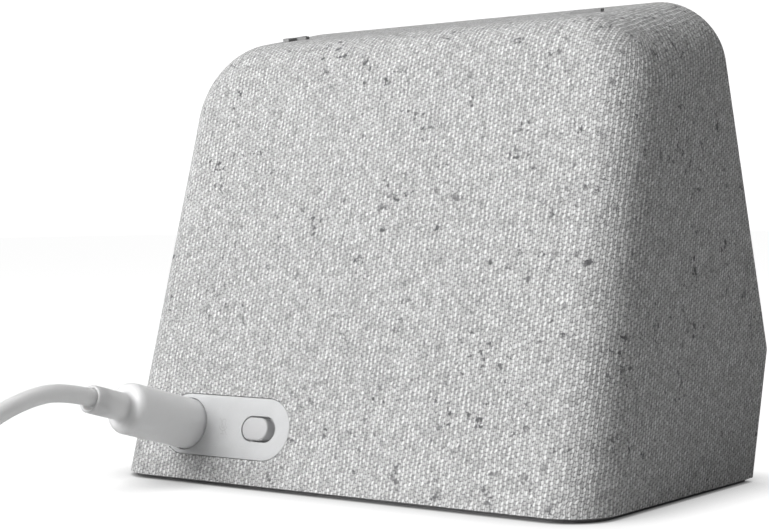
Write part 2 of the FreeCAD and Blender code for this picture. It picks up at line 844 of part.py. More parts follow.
def make_base():
    """The base plate in the casing's foot, the rubber pad under it and the dock contacts."""
    pad_top = float(S.pad_height)
    floor_top = SKIRT + float(S.plug_height)
    flange = slice_between(form(float(S.flange_inset), pad_top), pad_top, SKIRT)
    plug = slice_between(form(WALL + float(S.slip_gap), pad_top), SKIRT, floor_top)
    base = flange.fuse(plug).removeSplitter()
    holes = []
    for x, y in base_screw_spots():
        large = float(S.large_shank + S.pin_gap)
        holes.append(drill(FLOOR, x, y, 0, floor_top + 1, large))
        head = float(S.large_head + S.slip_gap)
        holes.append(drill(FLOOR, x, y, 0, BASE_SCREW_HEAD_TOP, head))
    for x, y in contact_spots():
        holes.append(drill(FLOOR, x, y, 0, floor_top + 1, S.contact_radius))
    shaped("base_plate", base.cut(holes))
    across, along = float(S.contact_window) / 2, float(S.contact_window_depth) / 2
    y = float(S.contact_place)
    window = chunk(FLOOR, (-across, across), (y - along, y + along), (-1, pad_top + 1))
    foot = slice_between(form(float(S.pad_inset), 0), 0, pad_top)
    shaped("rubber_foot", foot.cut(window))
    pins = [
        cylinder(
            FLOOR,
            f"dock_contact_{i}",
            x,
            y,
            S.pad_height - S.contact_reach,
            S.pad_height + S.flange_height + S.plug_height,
            S.contact_radius,
        )
        for i, (x, y) in enumerate(contact_spots())
    ]
    joined("dock_contacts", pins)
    low = S.pad_height + S.flange_height + S.plug_height
    outline = rectangle(
        -S.contact_window / 2,
        S.contact_window / 2,
        S.contact_place - S.contact_window_depth / 2,
        S.contact_place + S.contact_window_depth / 2,
        S.board_corner,
    )
    plate(FLOOR, "contact_board", outline, low, low + S.port_board_thickness)
    screws(
        "base_screws",
        FLOOR,
        base_screw_spots(),
        S.pad_height,
        1,
        S.large_head,
        S.large_head_height,
        S.large_shank,
        S.large_length,
    )


# ---------------------------------------------------------------- screen stack

GLASS_BACK = S.glass_recess + S.glass_thickness
PANEL_BACK = GLASS_BACK + S.panel_thickness
TRAY_BACK = PANEL_BACK + S.tray_thickness
CHASSIS_FRONT = TRAY_BACK + S.foam_gap
CHASSIS_BACK = CHASSIS_FRONT + S.chassis_thickness
BOARD_FRONT = CHASSIS_BACK + S.standoff_height
BOARD_BACK = BOARD_FRONT + S.board_thickness
BOARD_HIGH = S.board_low + S.board_length


def board_screw_spots():
    x = S.board_width / 2 - S.board_screw_edge
    low, high = S.board_low + S.board_screw_edge, BOARD_HIGH - S.board_screw_edge
    return [(side, y) for y in (low, high) for side in (-x, x)]


def make_screen():
    """Bezel, cover glass, display panel with its backlight, and the plate they mount on."""
    half_tray = S.panel_width / 2 + S.tray_lip
    half_rise = S.panel_height / 2 + S.tray_lip
    window_x = float(half_tray + S.bezel_window_gap)
    window_y = float(half_rise + S.bezel_window_gap)
    middle = float(S.panel_middle)
    slip = float(S.slip_gap)
    bezel = screen_plate(slip, float(S.bezel_recess), float(CHASSIS_FRONT))
    pocket_inset = slip + float(S.bezel_rim)
    rows = (middle - window_y, middle + window_y)
    sensor_gap = 0.2
    sensor = chunk(
        SCREEN,
        (-float(S.sensor_width) / 2 - sensor_gap, float(S.sensor_width) / 2 + sensor_gap),
        (
            float(S.sensor_place - S.sensor_height / 2) - sensor_gap,
            float(S.sensor_place + S.sensor_height / 2) + sensor_gap,
        ),
        (-float(GLASS_BACK + S.sensor_thickness), 1),
    )
    cuts = [
        screen_plate(pocket_inset, -1, float(GLASS_BACK)),
        chunk(SCREEN, (-window_x, window_x), rows, (-FAR / 10, 1)),
        sensor,
    ]
    head_front = -float(CHASSIS_FRONT - S.large_head_height) + slip
    for x, y in chassis_screw_spots():
        cuts.append(drill(SCREEN, x, y, -FAR / 10, head_front, S.large_head + S.slip_gap))
    shaped("front_bezel", bezel.cut(cuts))
    shaped(
        "cover_glass",
        screen_plate(pocket_inset + slip, float(S.glass_recess), float(GLASS_BACK)),
    )
    outline = rectangle(
        -S.panel_width / 2,
        S.panel_width / 2,
        S.panel_middle - S.panel_height / 2,
        S.panel_middle + S.panel_height / 2,
    )
    plate(SCREEN, "display_panel", outline, -PANEL_BACK, -GLASS_BACK)
    outline = rectangle(
        -half_tray,
        half_tray,
        S.panel_middle - half_rise,
        S.panel_middle + half_rise,
        S.tray_lip,
    )
    plate(SCREEN, "backlight_tray", outline, -TRAY_BACK, -PANEL_BACK)
    outline = rectangle(
        -S.sensor_width / 2,
        S.sensor_width / 2,
        S.sensor_place - S.sensor_height / 2,
        S.sensor_place + S.sensor_height / 2,
    )
    plate(SCREEN, "light_sensor", outline, -GLASS_BACK - S.sensor_thickness, -GLASS_BACK)


def make_chassis():
    """The aluminium plate behind the display, with standoffs for the main board."""
    front, back = float(CHASSIS_FRONT), float(CHASSIS_BACK)
    sheet_metal = screen_plate(float(S.chassis_inset), front, back)
    posts = [
        drill(SCREEN, x, y, -float(BOARD_FRONT), -back, S.standoff_radius)
        for x, y in board_screw_spots()
    ]
    chassis = sheet_metal.fuse(posts)
    small = float(S.small_shank + S.pin_gap)
    large = float(S.large_shank + S.pin_gap)
    holes = [
        drill(SCREEN, x, y, -float(BOARD_FRONT) - 1, -front + 1, small)
        for x, y in board_screw_spots()
    ]
    holes += [drill(SCREEN, x, y, -back - 1, -front + 1, large) for x, y in chassis_screw_spots()]
    half, low = float(RIBBON_HALF) + 1, float(RIBBON_RUN)
    holes.append(chunk(SCREEN, (-half, half), (low - 1, low + 1), (-back - 1, -front + 1)))
    shaped("display_chassis", chassis.cut(holes))
    screws(
        "chassis_screws",
        SCREEN,
        chassis_screw_spots(),
        -(CHASSIS_FRONT - S.large_head_height),
        -1,
        S.large_head,
        S.large_head_height,
        S.large_shank,
        S.large_length,
    )


def make_main_board():
    """Main board on its standoffs, its two shields, thermal pad and heat spreader."""
    half = S.board_width / 2
    outline = rectangle(-half, half, S.board_low, BOARD_HIGH, S.board_corner)
    board = plate(SCREEN, "main_board", outline, -BOARD_BACK, -BOARD_FRONT)
    for x, y in board_screw_spots():
        hole = circle(x, y, S.small_shank + S.pin_gap)
        pocket(board, hole, -BOARD_BACK, -BOARD_FRONT)
    middle = (S.board_low + BOARD_HIGH) / 2
    side = S.shield_side / 2
    outline = rectangle(-side, side, middle - side, middle + side, S.board_corner / 2)
    shield_back = BOARD_BACK + S.shield_thickness
    plate(SCREEN, "processor_shield", outline, -shield_back, -BOARD_BACK)
    right = half - S.board_screw_edge
    high = BOARD_HIGH - S.board_screw_edge * 3
    outline = rectangle(right - S.radio_width, right, high - S.radio_length, high)
    plate(SCREEN, "wireless_shield", outline, -BOARD_BACK - S.radio_thickness, -BOARD_BACK)
    pad_half = S.thermal_side / 2
    pad_back = shield_back + S.thermal_thickness
    outline = rectangle(-pad_half, pad_half, middle - pad_half, middle + pad_half)
    plate(SCREEN, "thermal_pad", outline, -pad_back, -shield_back)
    outline = rectangle(
        -S.spreader_width / 2,
        S.spreader_width / 2,
        middle - S.spreader_length / 2,
        middle + S.spreader_length / 2,
        S.board_corner,
    )
    plate(SCREEN, "heat_spreader", outline, -pad_back - S.spreader_thickness, -pad_back)
    screws(
        "board_screws",
        SCREEN,
        board_screw_spots(),
        -(BOARD_BACK + S.small_head_height),
        1,
        S.small_head,
        S.small_head_height,
        S.small_shank,
        S.small_length,
    )


# ---------------------------------------------------------------- port panel, slider and jack

PORT_BACK = S.port_thickness + S.bezel_recess
JACK_TOP = PORT_MIDDLE + S.jack_side / 2
PORT_BOARD_TOP = JACK_TOP + S.port_board_thickness


def make_port_panel():
    """The pill-shaped panel with the slider's window and the plug's round hole."""
    outline = pill(-S.port_right, -S.port_left, PORT_MIDDLE, S.port_height)
    window = pill(
        -(S.window_place + S.window_length / 2),
        -(S.window_place - S.window_length / 2),
        PORT_MIDDLE,
        S.window_height,
    )
    hole = circle(-S.plug_place, PORT_MIDDLE, S.plug_radius + S.plug_hole_gap)
    span = (-PORT_BACK, -S.bezel_recess)
    plate(BACK, "port_panel", outline, *span, cuts=[(window, *span), (hole, *span)])


def make_mute_slider():
    """The knob, its flange behind the panel, the switch behind it and the switch's lever."""
    middle = S.knob_place
    body = body_on(BACK, "mute_slider")
    knob_left, knob_right = -(middle + S.knob_length / 2), -(middle - S.knob_length / 2)
    flange_front = -(PORT_BACK + S.pin_gap)
    flange_back = flange_front - S.knob_flange
    flange = rectangle(
        -(middle + S.flange_length / 2),
        -(middle - S.flange_length / 2),
        PORT_MIDDLE - S.flange_width / 2,
        PORT_MIDDLE + S.flange_width / 2,
        S.board_corner / 2,
    )
    pad(body, flange, flange_back, flange_front)
    pad(body, pill(knob_left, knob_right, PORT_MIDDLE, S.knob_height), flange_front, S.knob_proud)
    notch_half = S.lever_side / 2 + S.pin_gap
    notch = rectangle(
        -middle - notch_half,
        -middle + notch_half,
        PORT_MIDDLE - notch_half,
        PORT_MIDDLE + notch_half,
    )
    pocket(body, notch, flange_back, flange_back + S.lever_bite + S.pin_gap)
    keep(body, "mute_slider")

    lever_half = S.lever_side / 2
    lever_front = flange_back + S.lever_bite
    lever = rectangle(
        -middle - lever_half,
        -middle + lever_half,
        PORT_MIDDLE - lever_half,
        PORT_MIDDLE + lever_half,
    )
    plate(BACK, "switch_lever", lever, lever_front - S.lever_length, lever_front)

    centre = S.window_place
    switch_front = flange_back - S.running_gap * 2
    outline = rectangle(
        -centre - S.switch_length / 2,
        -centre + S.switch_length / 2,
        JACK_TOP - S.switch_height,
        JACK_TOP,
    )
    slot = rectangle(
        -middle - lever_half - S.running_gap,
        -middle + lever_half + S.knob_travel + S.running_gap,
        PORT_MIDDLE - lever_half - S.slip_gap,
        PORT_MIDDLE + lever_half + S.slip_gap,
    )
    slot_depth = S.lever_length - S.lever_bite
    plate(
        BACK,
        "mute_switch",
        outline,
        switch_front - S.switch_depth,
        switch_front,
        cuts=[(slot, switch_front - slot_depth, switch_front)],
    )


def make_port_board():
    """The small board over the jack and the switch, and its two screws."""
    body = body_on(BACK, "port_board_blank")
    outline = rectangle(-S.port_board_right, -S.port_board_left, JACK_TOP, PORT_BOARD_TOP)
    near = S.fabric_thickness + S.housing_wall + S.port_board_gap
    pad(body, outline, -S.port_board_far, -near)
    hole = float(S.small_shank + S.pin_gap)
    cutters = []
    spots = (S.port_screw_left, S.port_screw_right)
    for i, x in enumerate(spots):
        tool = doc.addObject("Part::Cylinder", f"port_board_hole_{i}")
        tool.Radius = hole
        tool.setExpression("Radius", (S.small_shank + S.pin_gap).text)
        tool.setExpression("Height", (S.port_board_thickness * 3).text)
        turn = FreeCAD.Rotation(V(0, 0, 1), BACK.up)
        start = BACK.at(x, JACK_TOP - S.port_board_thickness, -S.port_screw_depth)
        tool.Placement = FreeCAD.Placement(start, turn)
        cutters.append(tool)
    keep(cut("port_board_drilled", body, fused("port_board_holes", cutters)), "port_board")

    upright = Face(BACK.origin, V(0, 0, 1))
    upright.right, upright.up, upright.out = BACK.right, -BACK.out, BACK.up
    head_low = JACK_TOP - S.small_head_height
    made = []
    for i, x in enumerate(spots):
        pieces = []
        sizes = (
            (S.small_head, head_low, JACK_TOP),
            (S.small_shank, JACK_TOP, JACK_TOP + S.small_length),
        )
        for j, (radius, low, high) in enumerate(sizes):
            label = f"port_screw_{i}_{j}"
            pieces.append(cylinder(upright, label, x, S.port_screw_depth, low, high, radius))
        made.append(fused(f"port_screw_{i}", pieces))
    joined("port_screws", made)


def make_jack():
    """Power jack behind the panel's hole and its centre pin."""
    half = S.jack_side / 2
    outline = rectangle(-S.plug_place - half, -S.plug_place + half, PORT_MIDDLE - half, JACK_TOP)
    front = -PORT_BACK
    bore = circle(-S.plug_place, PORT_MIDDLE, S.sleeve_radius + S.slip_gap)
    plate(
        BACK,
        "power_jack",
        outline,
        front - S.jack_length,
        front,
        cuts=[(bore, front - S.jack_bore_depth, front)],
    )
    pin = circle(-S.plug_place, PORT_MIDDLE, S.pin_radius)
    low = front - S.jack_bore_depth
    plate(BACK, "jack_pin", pin, low, low + S.sleeve_length)


# ---------------------------------------------------------------- volume keys and their board


def plus_outline(x, y, arm, bar):
    """A plus sign's twelve corners."""
    signs = [(1, 0), (0, 1), (-1, 0), (0, -1)]
    corners = []
    for i, (a, b) in enumerate(signs):
        c, d = signs[(i + 1) % 4]
        for along, across in ((arm, -bar), (arm, bar)):
            corners.append((x + along * a + across * c, y + along * b + across * d))
        corners.append((x + bar * a + bar * c, y + bar * b + bar * d))
    return polygon(corners)


def make_key(label, plunger_label, x, outline):
    """A volume key: the raised sign, the flange under the wall, the stem and the plunger."""
    wall = S.fabric_thickness + S.housing_wall
    flange_high = -(wall + S.key_flange_gap)
    flange_low = flange_high - S.key_flange_thickness
    stem_low = -(BOARD_DEPTH - S.tact_height - S.plunger_reach)
    half = S.key_flange / 2
    body = body_on(TOP, label)
    side = rectangle(x - half, x + half, S.key_run - half, S.key_run + half, S.board_corner / 2)
    pad(body, side, flange_low, flange_high)
    pad(body, outline, flange_high, S.key_proud)
    pad(body, circle(x, S.key_run, S.plunger_radius * 2), stem_low, flange_low)
    keep(body, label)
    tip = stem_low - S.plunger_reach - S.key_travel * 1.5
    plate(TOP, plunger_label, circle(x, S.key_run, S.plunger_radius), tip, stem_low)


def make_keys():
    """Both keys, the switches under them and the board that carries these and the mics."""
    bar = S.key_bar / 2
    plus = plus_outline(S.key_place, S.key_run, S.plus_span / 2, bar)
    make_key("plus_button", "plus_plunger", S.key_place, plus)
    dash = S.minus_length / 2
    left, right = -S.key_place - dash, -S.key_place + dash
    minus = rectangle(left, right, S.key_run - bar, S.key_run + bar)
    make_key("minus_button", "minus_plunger", -S.key_place, minus)

    board_top = -BOARD_DEPTH
    half, wide = S.key_board_length / 2, S.key_board_width / 2
    outline = rectangle(-half, half, S.key_run - wide, S.key_run + wide, S.board_corner)
    board_low = board_top - S.key_board_thickness
    board = plate(TOP, "key_board", outline, board_low, board_top)
    for x in (-S.key_screw_x, S.key_screw_x):
        pocket(board, circle(x, S.key_run, S.small_shank + S.pin_gap), board_low, board_top)

    side = S.tact_side / 2
    switches = []
    for i, x in enumerate((-S.key_place, S.key_place)):
        body = block(
            TOP,
            f"key_switch_block_{i}",
            x - side,
            x + side,
            S.key_run - side,
            S.key_run + side,
            board_top,
            board_top + S.tact_height,
        )
        low = board_top + S.tact_height / 4
        well = cylinder(
            TOP,
            f"key_switch_well_{i}",
            x,
            S.key_run,
            low,
            board_top + S.tact_height * 2,
            S.plunger_radius + S.slip_gap,
        )
        switches.append(cut(f"key_switch_{i}", body, well))
    joined("key_switches", switches)
    screws(
        "key_screws",
        TOP,
        [(-S.key_screw_x, S.key_run), (S.key_screw_x, S.key_run)],
        board_low - S.small_head_height,
        1,
        S.small_head,
        S.small_head_height,
        S.small_shank,
        S.small_length,
    )


def make_microphones():
    """Two microphones on the key board, each under a rubber boot that meets the casing."""
    low = -BOARD_DEPTH
    high = low + S.mic_height
    wall = S.fabric_thickness + S.housing_wall
    across, along = S.mic_width / 2, S.mic_length / 2
    run = S.key_run
    spots = (-S.mic_place, S.mic_place)
    capsules = [
        block(
            TOP, f"microphone_{i}", x - across, x + across, run - along, run + along, low, high
        )
        for i, x in enumerate(spots)
    ]
    joined("microphones", capsules)
    boots = []
    for i, x in enumerate(spots):
        outer = cylinder(TOP, f"boot_outer_{i}", x, run, high, -wall, S.boot_radius)
        inner = cylinder(TOP, f"boot_inner_{i}", x, run, high, -wall, S.mic_hole)
        boots.append(cut(f"microphone_boot_{i}", outer, inner))
    joined("microphone_boots", boots)


# ---------------------------------------------------------------- speaker

SPEAKER_FRONT = S.fabric_thickness + S.housing_wall + S.gasket_thickness


def race(width, height):
    """A pill-shaped outline centred on the speaker."""
    return pill(-width / 2, width / 2, S.speaker_middle, height)


def make_speaker():
    """The driver behind the undercut's grille, its gasket and its closed rear box."""
    wall = S.fabric_thickness + S.housing_wall
    front = -SPEAKER_FRONT
    band = S.gasket_width * 2
    inner = race(S.speaker_width - band, S.speaker_height - band)
    plate(
        UNDERCUT,
        "speaker_gasket",
        race(S.speaker_width, S.speaker_height),
        front,
        -wall,
        cuts=[(inner, front, -wall)],
    )
    flange_back = front - S.frame_flange
    tub_back = front - S.tub_depth
    body = body_on(UNDERCUT, "speaker_frame")
    pad(body, race(S.speaker_width, S.speaker_height), flange_back, front)
    pad(body, race(S.tub_width, S.tub_height), tub_back, flange_back)
    rim = S.tub_wall * 2
    well_width, well_height = S.tub_width - rim, S.tub_height - rim
    pocket(body, race(well_width, well_height), tub_back + S.tub_wall, front)
    keep(body, "speaker_frame")

    roll = S.surround_width * 2
    cone_width, cone_height = well_width - roll, well_height - roll
    roll_low = front - S.surround_thickness
    plate(
        UNDERCUT,
        "speaker_surround",
        race(well_width, well_height),
        roll_low,
        front,
        cuts=[(race(cone_width, cone_height), roll_low, front)],
    )
    body = body_on(UNDERCUT, "speaker_cone")
    pad(body, race(cone_width, cone_height), front - S.cone_thickness, front)
    voice = circle(0, S.speaker_middle, S.coil_radius)
    pad(body, voice, tub_back + S.tub_wall * 2, front - S.cone_thickness)
    keep(body, "speaker_cone")
    magnet = circle(0, S.speaker_middle, S.magnet_radius)
    plate(UNDERCUT, "speaker_magnet", magnet, tub_back - S.magnet_thickness, tub_back)

    body = body_on(UNDERCUT, "speaker_box")
    low, high = S.speaker_middle - S.box_height / 2, S.speaker_middle + S.box_height / 2
    box_back = flange_back - S.box_depth
    pad(body, rectangle(-S.box_width / 2, S.box_width / 2, low, high), box_back, flange_back)
    ears = rectangle(
        -S.ear_width / 2,
        S.ear_width / 2,
        S.speaker_middle - S.ear_height / 2,
        S.speaker_middle + S.ear_height / 2,
    )
    pad(body, ears, flange_back - S.box_wall, flange_back)
    opening = race(S.tub_width + S.running_gap, S.tub_height + S.running_gap)
    pocket(body, opening, flange_back - S.box_wall, flange_back)
    room = rectangle(
        -S.box_width / 2 + S.box_wall,
        S.box_width / 2 - S.box_wall,
        low + S.box_wall,
        high - S.box_wall,
    )
    pocket(body, room, box_back + S.box_wall, flange_back - S.box_wall)
    for x in (-S.speaker_screw_x, S.speaker_screw_x):
        hole = circle(x, S.speaker_middle, S.small_shank + S.pin_gap)
        pocket(body, hole, flange_back - S.box_wall, flange_back)
    keep(body, "speaker_box")
    screws(
        "speaker_screws",
        UNDERCUT,
        [(-S.speaker_screw_x, S.speaker_middle), (S.speaker_screw_x, S.speaker_middle)],
        flange_back - S.box_wall - S.small_head_height,
        1,
        S.small_head,
        S.small_head_height,
        S.small_shank,
        S.small_length,
    )


# ---------------------------------------------------------------- ribbons and antenna

RIBBON_HALF = S.thermal_side / 2
RIBBON_RUN = S.board_low - 2


def ribbon(label, points, left, right):
    """A flat cable: a thin strip through points in the side view, from left to right."""
    half = float(S.ribbon_thickness) / 2
    normals = []
    for start, stop in zip(points, points[1:]):
        along = (stop - start).normalize()
        normals.append(V(0, -along.z, along.y))
    offsets = [normals[0] * half]
    for one, two in zip(normals, normals[1:]):
        middle = (one + two).normalize()
        offsets.append(middle * (half / middle.dot(one)))
    offsets.append(normals[-1] * half)
    outer = [p + o for p, o in zip(points, offsets)]
    inner = [p - o for p, o in zip(points, offsets)][::-1]
    corners = [p + V(left, 0, 0) for p in outer + inner + outer[:1]]
    profile = Part.Face(Part.makePolygon(corners))
    shaped(label, profile.extrude(V(right - left, 0, 0)))


def make_ribbons():
    """Flat cables between the boards, and the antenna on the left wall."""
    lift = float(S.ribbon_thickness)
    over_board = -float(BOARD_BACK) - lift
    half, run = float(RIBBON_HALF), float(RIBBON_RUN)
    landing = float(S.board_low) + 5
    points = [
        SCREEN.at(0, run, -float(TRAY_BACK) - lift / 2),
        SCREEN.at(0, run, over_board),
        SCREEN.at(0, landing, over_board),
    ]
    ribbon("display_flex", points, -half, half)

    strip = 5.0
    screw_room = float(S.board_width / 2 - S.board_screw_edge - S.small_head) - 0.5
    port_end = BACK.at(0, float(PORT_BOARD_TOP) + lift, -float(S.port_board_far) + 1)
    points = [
        port_end,
        BACK.at(0, 29, -19),
        BACK.at(0, 44, -27),
        SCREEN.at(0, landing + 3, over_board - 7),
        SCREEN.at(0, landing - 1, over_board),
    ]
    ribbon("port_cable", points, screw_room - strip, screw_room)

    key_low = -float(BOARD_DEPTH + S.key_board_thickness) - lift
    high = float(BOARD_HIGH)
    points = [
        TOP.at(0, float(S.key_run) - 2, key_low),
        TOP.at(0, float(S.key_run) - 1, key_low - 4),
        SCREEN.at(0, high - 1, over_board - 5),
        SCREEN.at(0, high - 4, over_board),
    ]
    ribbon("key_cable", points, -screw_room, -screw_room + strip)

    box_top = float(S.speaker_middle + S.box_height / 2) + lift
    points = [
        UNDERCUT.at(0, box_top, -float(SPEAKER_FRONT) - 18),
        UNDERCUT.at(0, box_top + 4, -float(SPEAKER_FRONT) - 17),
        SCREEN.at(0, landing - 3, over_board - 2),
        SCREEN.at(0, landing - 2, over_board),
    ]
    ribbon("speaker_cable", points, -half - 10, -half - 7)

    antenna = doc.addObject("Part::Box", "wifi_antenna")
    antenna.setExpression("Length", S.antenna_thickness.text)
    antenna.setExpression("Width", S.antenna_length.text)
    antenna.setExpression("Height", S.antenna_height.text)
    low = float(S.antenna_low)
    corner = V(-form_width(low, WALL), float(S.antenna_front), low)
    turn = FreeCAD.Rotation(V(0, 1, 0), float(S.side_lean))
    antenna.Placement = FreeCAD.Placement(corner, turn)
    keep(antenna, "wifi_antenna")


# ---------------------------------------------------------------- power lead


def cord_wire(points):
    """Straight runs joined by tangent arcs, each as large as its two runs allow."""
    ends = [points[0]]
    arcs = []
    for before, corner, after in zip(points, points[1:], points[2:]):
        back, ahead = before - corner, after - corner
        reach = 0.45 * min(back.Length, ahead.Length)
        turn = math.pi - back.getAngle(ahead)
        radius = reach / math.tan(turn / 2)
        print(f"arc radius {radius:.1f} for a turn of {math.degrees(turn):.1f}")
        back.normalize()
        ahead.normalize()
        start, stop = corner + back * reach, corner + ahead * reach
        middle = (back + ahead).normalize()
        crown = corner + middle * (radius / math.cos(turn / 2) - radius)
        arcs.append(Part.Arc(start, crown, stop).toShape())
        ends += [start, stop]
    ends.append(points[-1])
    edges = []
    for i in range(0, len(ends), 2):
        edges.append(Part.LineSegment(ends[i], ends[i + 1]).toShape())
        if i // 2 < len(arcs):
            edges.append(arcs[i // 2])
    return Part.Wire(edges)


def cord_tube(label, points):
    """A stretch of the lead along its route. Its volume is compared with section times length."""
    radius = float(S.cord_radius)
    wire = cord_wire(points)
    along = (points[1] - points[0]).normalize()
    section = Part.Wire(Part.makeCircle(radius, points[0], along))
    tube = wire.makePipeShell([section], True, True)
    expected = math.pi * radius**2 * wire.Length
    print(f"{label}: length {wire.Length:.1f}, volume share {tube.Volume / expected:.4f}")
    shaped(label, tube)
    return wire.Length


OUTER_TRACK = S.coil_mean_radius + S.coil_track_pitch * ((SIZES["coil_tracks"] - 1) / 2)
COIL_X = S.plug_place - OUTER_TRACK
COIL_HEIGHT = S.cord_radius * 2 * SIZES["coil_layers"]
ADAPTER_ENTRY = S.adapter_height / 2
RELIEF_TIP = S.adapter_left - S.adapter_relief_length


def lead_out():
    """The route from the plug's strain relief down to the coil on the floor."""
    x, low = float(S.plug_place), float(S.cord_radius)
    seat = float(S.plug_length + S.relief_length - S.relief_bore_depth)
    start = BACK.at(x, float(PORT_MIDDLE + S.cord_rise), seat)
    return [
        start,
        start + BACK.out * 9.9,
        V(x, 74.6, 19.9),
        V(x, 84.2, 16.4),
        V(x, 93.0, 10.4),
        V(x + 0.2, 101.0, 4.5),
        V(x + 0.6, 110.3, low),
        V(x + 0.5, 120.7, low),
        V(x, float(S.coil_middle_y), low),
    ]


def lead_in():
    """The route from the coil's top layer, over the lead, to the adapter's strain relief."""
    side = float(S.coil_middle_y - OUTER_TRACK)
    high = float(COIL_HEIGHT - S.cord_radius)
    entry, middle = float(S.adapter_middle_y), float(ADAPTER_ENTRY)
    tip = float(RELIEF_TIP)
    return [
        V(tip - 24.0, side + 0.2, high),
        V(tip - 16.0, side - 0.8, high),
        V(tip - 7.8, entry + 0.1, middle - 0.1),
        V(tip, entry, middle),
    ]


def make_lead():
    """Plug with its contact sleeve and strain relief, cord, coil with its tie, and adapter."""
    x = S.plug_place
    front = -PORT_BACK
    barrel = cylinder(BACK, "plug_barrel_plain", x, PORT_MIDDLE, front, S.plug_length, S.plug_radius)
    doc.recompute()
    end = BACK.at(x, PORT_MIDDLE, S.plug_length)
    rim = [
        i
        for i, edge in enumerate(barrel.Shape.Edges, 1)
        if lies_on(edge, end, BACK.out)
    ]
    rounded = doc.addObject("Part::Fillet", "plug_barrel")
    rounded.Base = barrel
    rounded.Edges = [(i, float(S.plug_rounding), float(S.plug_rounding)) for i in rim]
    keep(rounded, "plug_barrel")
    sleeve_low = front - S.sleeve_length
    outer = cylinder(BACK, "plug_sleeve_outer", x, PORT_MIDDLE, sleeve_low, front, S.sleeve_radius)
    inner = cylinder(BACK, "plug_sleeve_inner", x, PORT_MIDDLE, sleeve_low, front, S.sleeve_bore)
    keep(cut("plug_sleeve_cut", outer, inner), "plug_sleeve")
    relief_end = S.plug_length + S.relief_length
    relief = cylinder(
        BACK, "relief_plain", x, PORT_MIDDLE, S.plug_length, relief_end, S.relief_radius
    )
    bore = cylinder(
        BACK,
        "relief_bore",
        x,
        PORT_MIDDLE,
        relief_end - S.relief_bore_depth,
        relief_end + 1,
        S.relief_bore,
    )
    keep(cut("relief_cut", relief, bore), "plug_strain_relief")

    out_length = cord_tube("power_lead", lead_out())
    in_length = cord_tube("lead_tail", lead_in())
    turns = SIZES["coil_tracks"] * SIZES["coil_layers"]
    coil_length = turns * 2 * math.pi * float(S.coil_mean_radius)
    print(f"whole lead {out_length + in_length + coil_length:.0f}")

    width = S.coil_track_pitch * SIZES["coil_tracks"] / 2
    y = S.coil_middle_y
    body = body_on(FLOOR, "lead_coil")
    pad(body, circle(COIL_X, y, S.coil_mean_radius + width), 0, COIL_HEIGHT)
    pocket(body, circle(COIL_X, y, S.coil_mean_radius - width), 0, COIL_HEIGHT)
    half = S.tie_width / 2
    thick = S.tie_thickness
    gap = S.pin_gap
    ring_in = COIL_X - S.coil_mean_radius + width + S.tie_slack
    ring_out = COIL_X - S.coil_mean_radius - width
    bed = rectangle(ring_out - thick * 2, ring_in + thick * 2, y - half, y + half)
    pocket(body, bed, 0, thick)
    keep(body, "lead_coil")
    side = Face(V(0, 0, 0), V(0, 0, 1))
    tie = body_on(side, "lead_tie")
    high = COIL_HEIGHT + gap
    outline = rectangle(ring_out - gap - thick, ring_in + gap + thick, 0, high + thick)
    pad(tie, outline, -y - half, -y + half)
    hole = rectangle(ring_out - gap, ring_in + gap, thick, high)
    pocket(tie, hole, -y - half, -y + half)
    keep(tie, "lead_tie")

    left = S.adapter_left
    right = left + S.adapter_length
    middle = S.adapter_middle_y
    wide = S.adapter_width / 2
    outline = rectangle(left, right, middle - wide, middle + wide, S.adapter_rounding)
    plate(FLOOR, "wall_adapter", outline, 0, S.adapter_height)
    cone = doc.addObject("Part::Cone", "adapter_strain_relief")
    cone.setExpression("Radius1", S.adapter_relief_wide.text)
    cone.setExpression("Radius2", S.adapter_relief_narrow.text)
    cone.setExpression("Height", S.adapter_relief_length.text)
    turn = FreeCAD.Rotation(V(0, 0, 1), V(-1, 0, 0))
    cone.Placement = FreeCAD.Placement(V(float(left), float(middle), float(ADAPTER_ENTRY)), turn)
    keep(cone, "adapter_strain_relief")
    blades = []
    centre = (left + right) / 2
    for i, sign in enumerate((-1, 1)):
        y = middle + S.blade_pitch * (sign / 2)
        blade = block(
            FLOOR,
            f"blade_{i}",
            centre - S.blade_width / 2,
            centre + S.blade_width / 2,
            y - S.blade_thickness / 2,
            y + S.blade_thickness / 2,
            S.adapter_height,
            S.adapter_height + S.blade_length,
        )
        hole = doc.addObject("Part::Cylinder", f"blade_hole_{i}")
        hole.setExpression("Radius", S.blade_hole.text)
        hole.setExpression("Height", (S.blade_thickness * 3).text)
        high = S.adapter_height + S.blade_length - S.blade_width / 2
        spot = V(float(centre), float(y + S.blade_thickness * 1.5), float(high))
        hole.Placement = FreeCAD.Placement(spot, FreeCAD.Rotation(V(0, 0, 1), V(0, -1, 0)))
        blades.append(cut(f"adapter_blade_{i}", blade, hole))
    joined("adapter_blades", blades)


# ---------------------------------------------------------------- build, check and write

make_fabric_cover()
make_rear_housing()
make_base()
make_screen()
make_chassis()
make_main_board()
make_port_panel()
make_mute_slider()
make_port_board()
make_jack()
make_keys()
make_microphones()
make_speaker()
make_ribbons()
make_lead()
doc.recompute()

for thing in doc.Objects:
    if "Invalid" in thing.State or "Error" in thing.State:
        raise RuntimeError(f"{thing.Label} did not build: {thing.State}")
for label, thing in SUB_PARTS.items():
    if thing.Shape.isNull() or not thing.Shape.isValid() or not thing.Shape.Solids:
        raise RuntimeError(f"{label} has no valid solid")

os.makedirs("parts", exist_ok=True)
for label, thing in SUB_PARTS.items():
    thing.Shape.exportStep(f"parts/{label}.step")
print(f"{len(SUB_PARTS)} sub-parts written")
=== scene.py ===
import json
import math

import bmesh
import bpy
from mathutils import Matrix, Vector


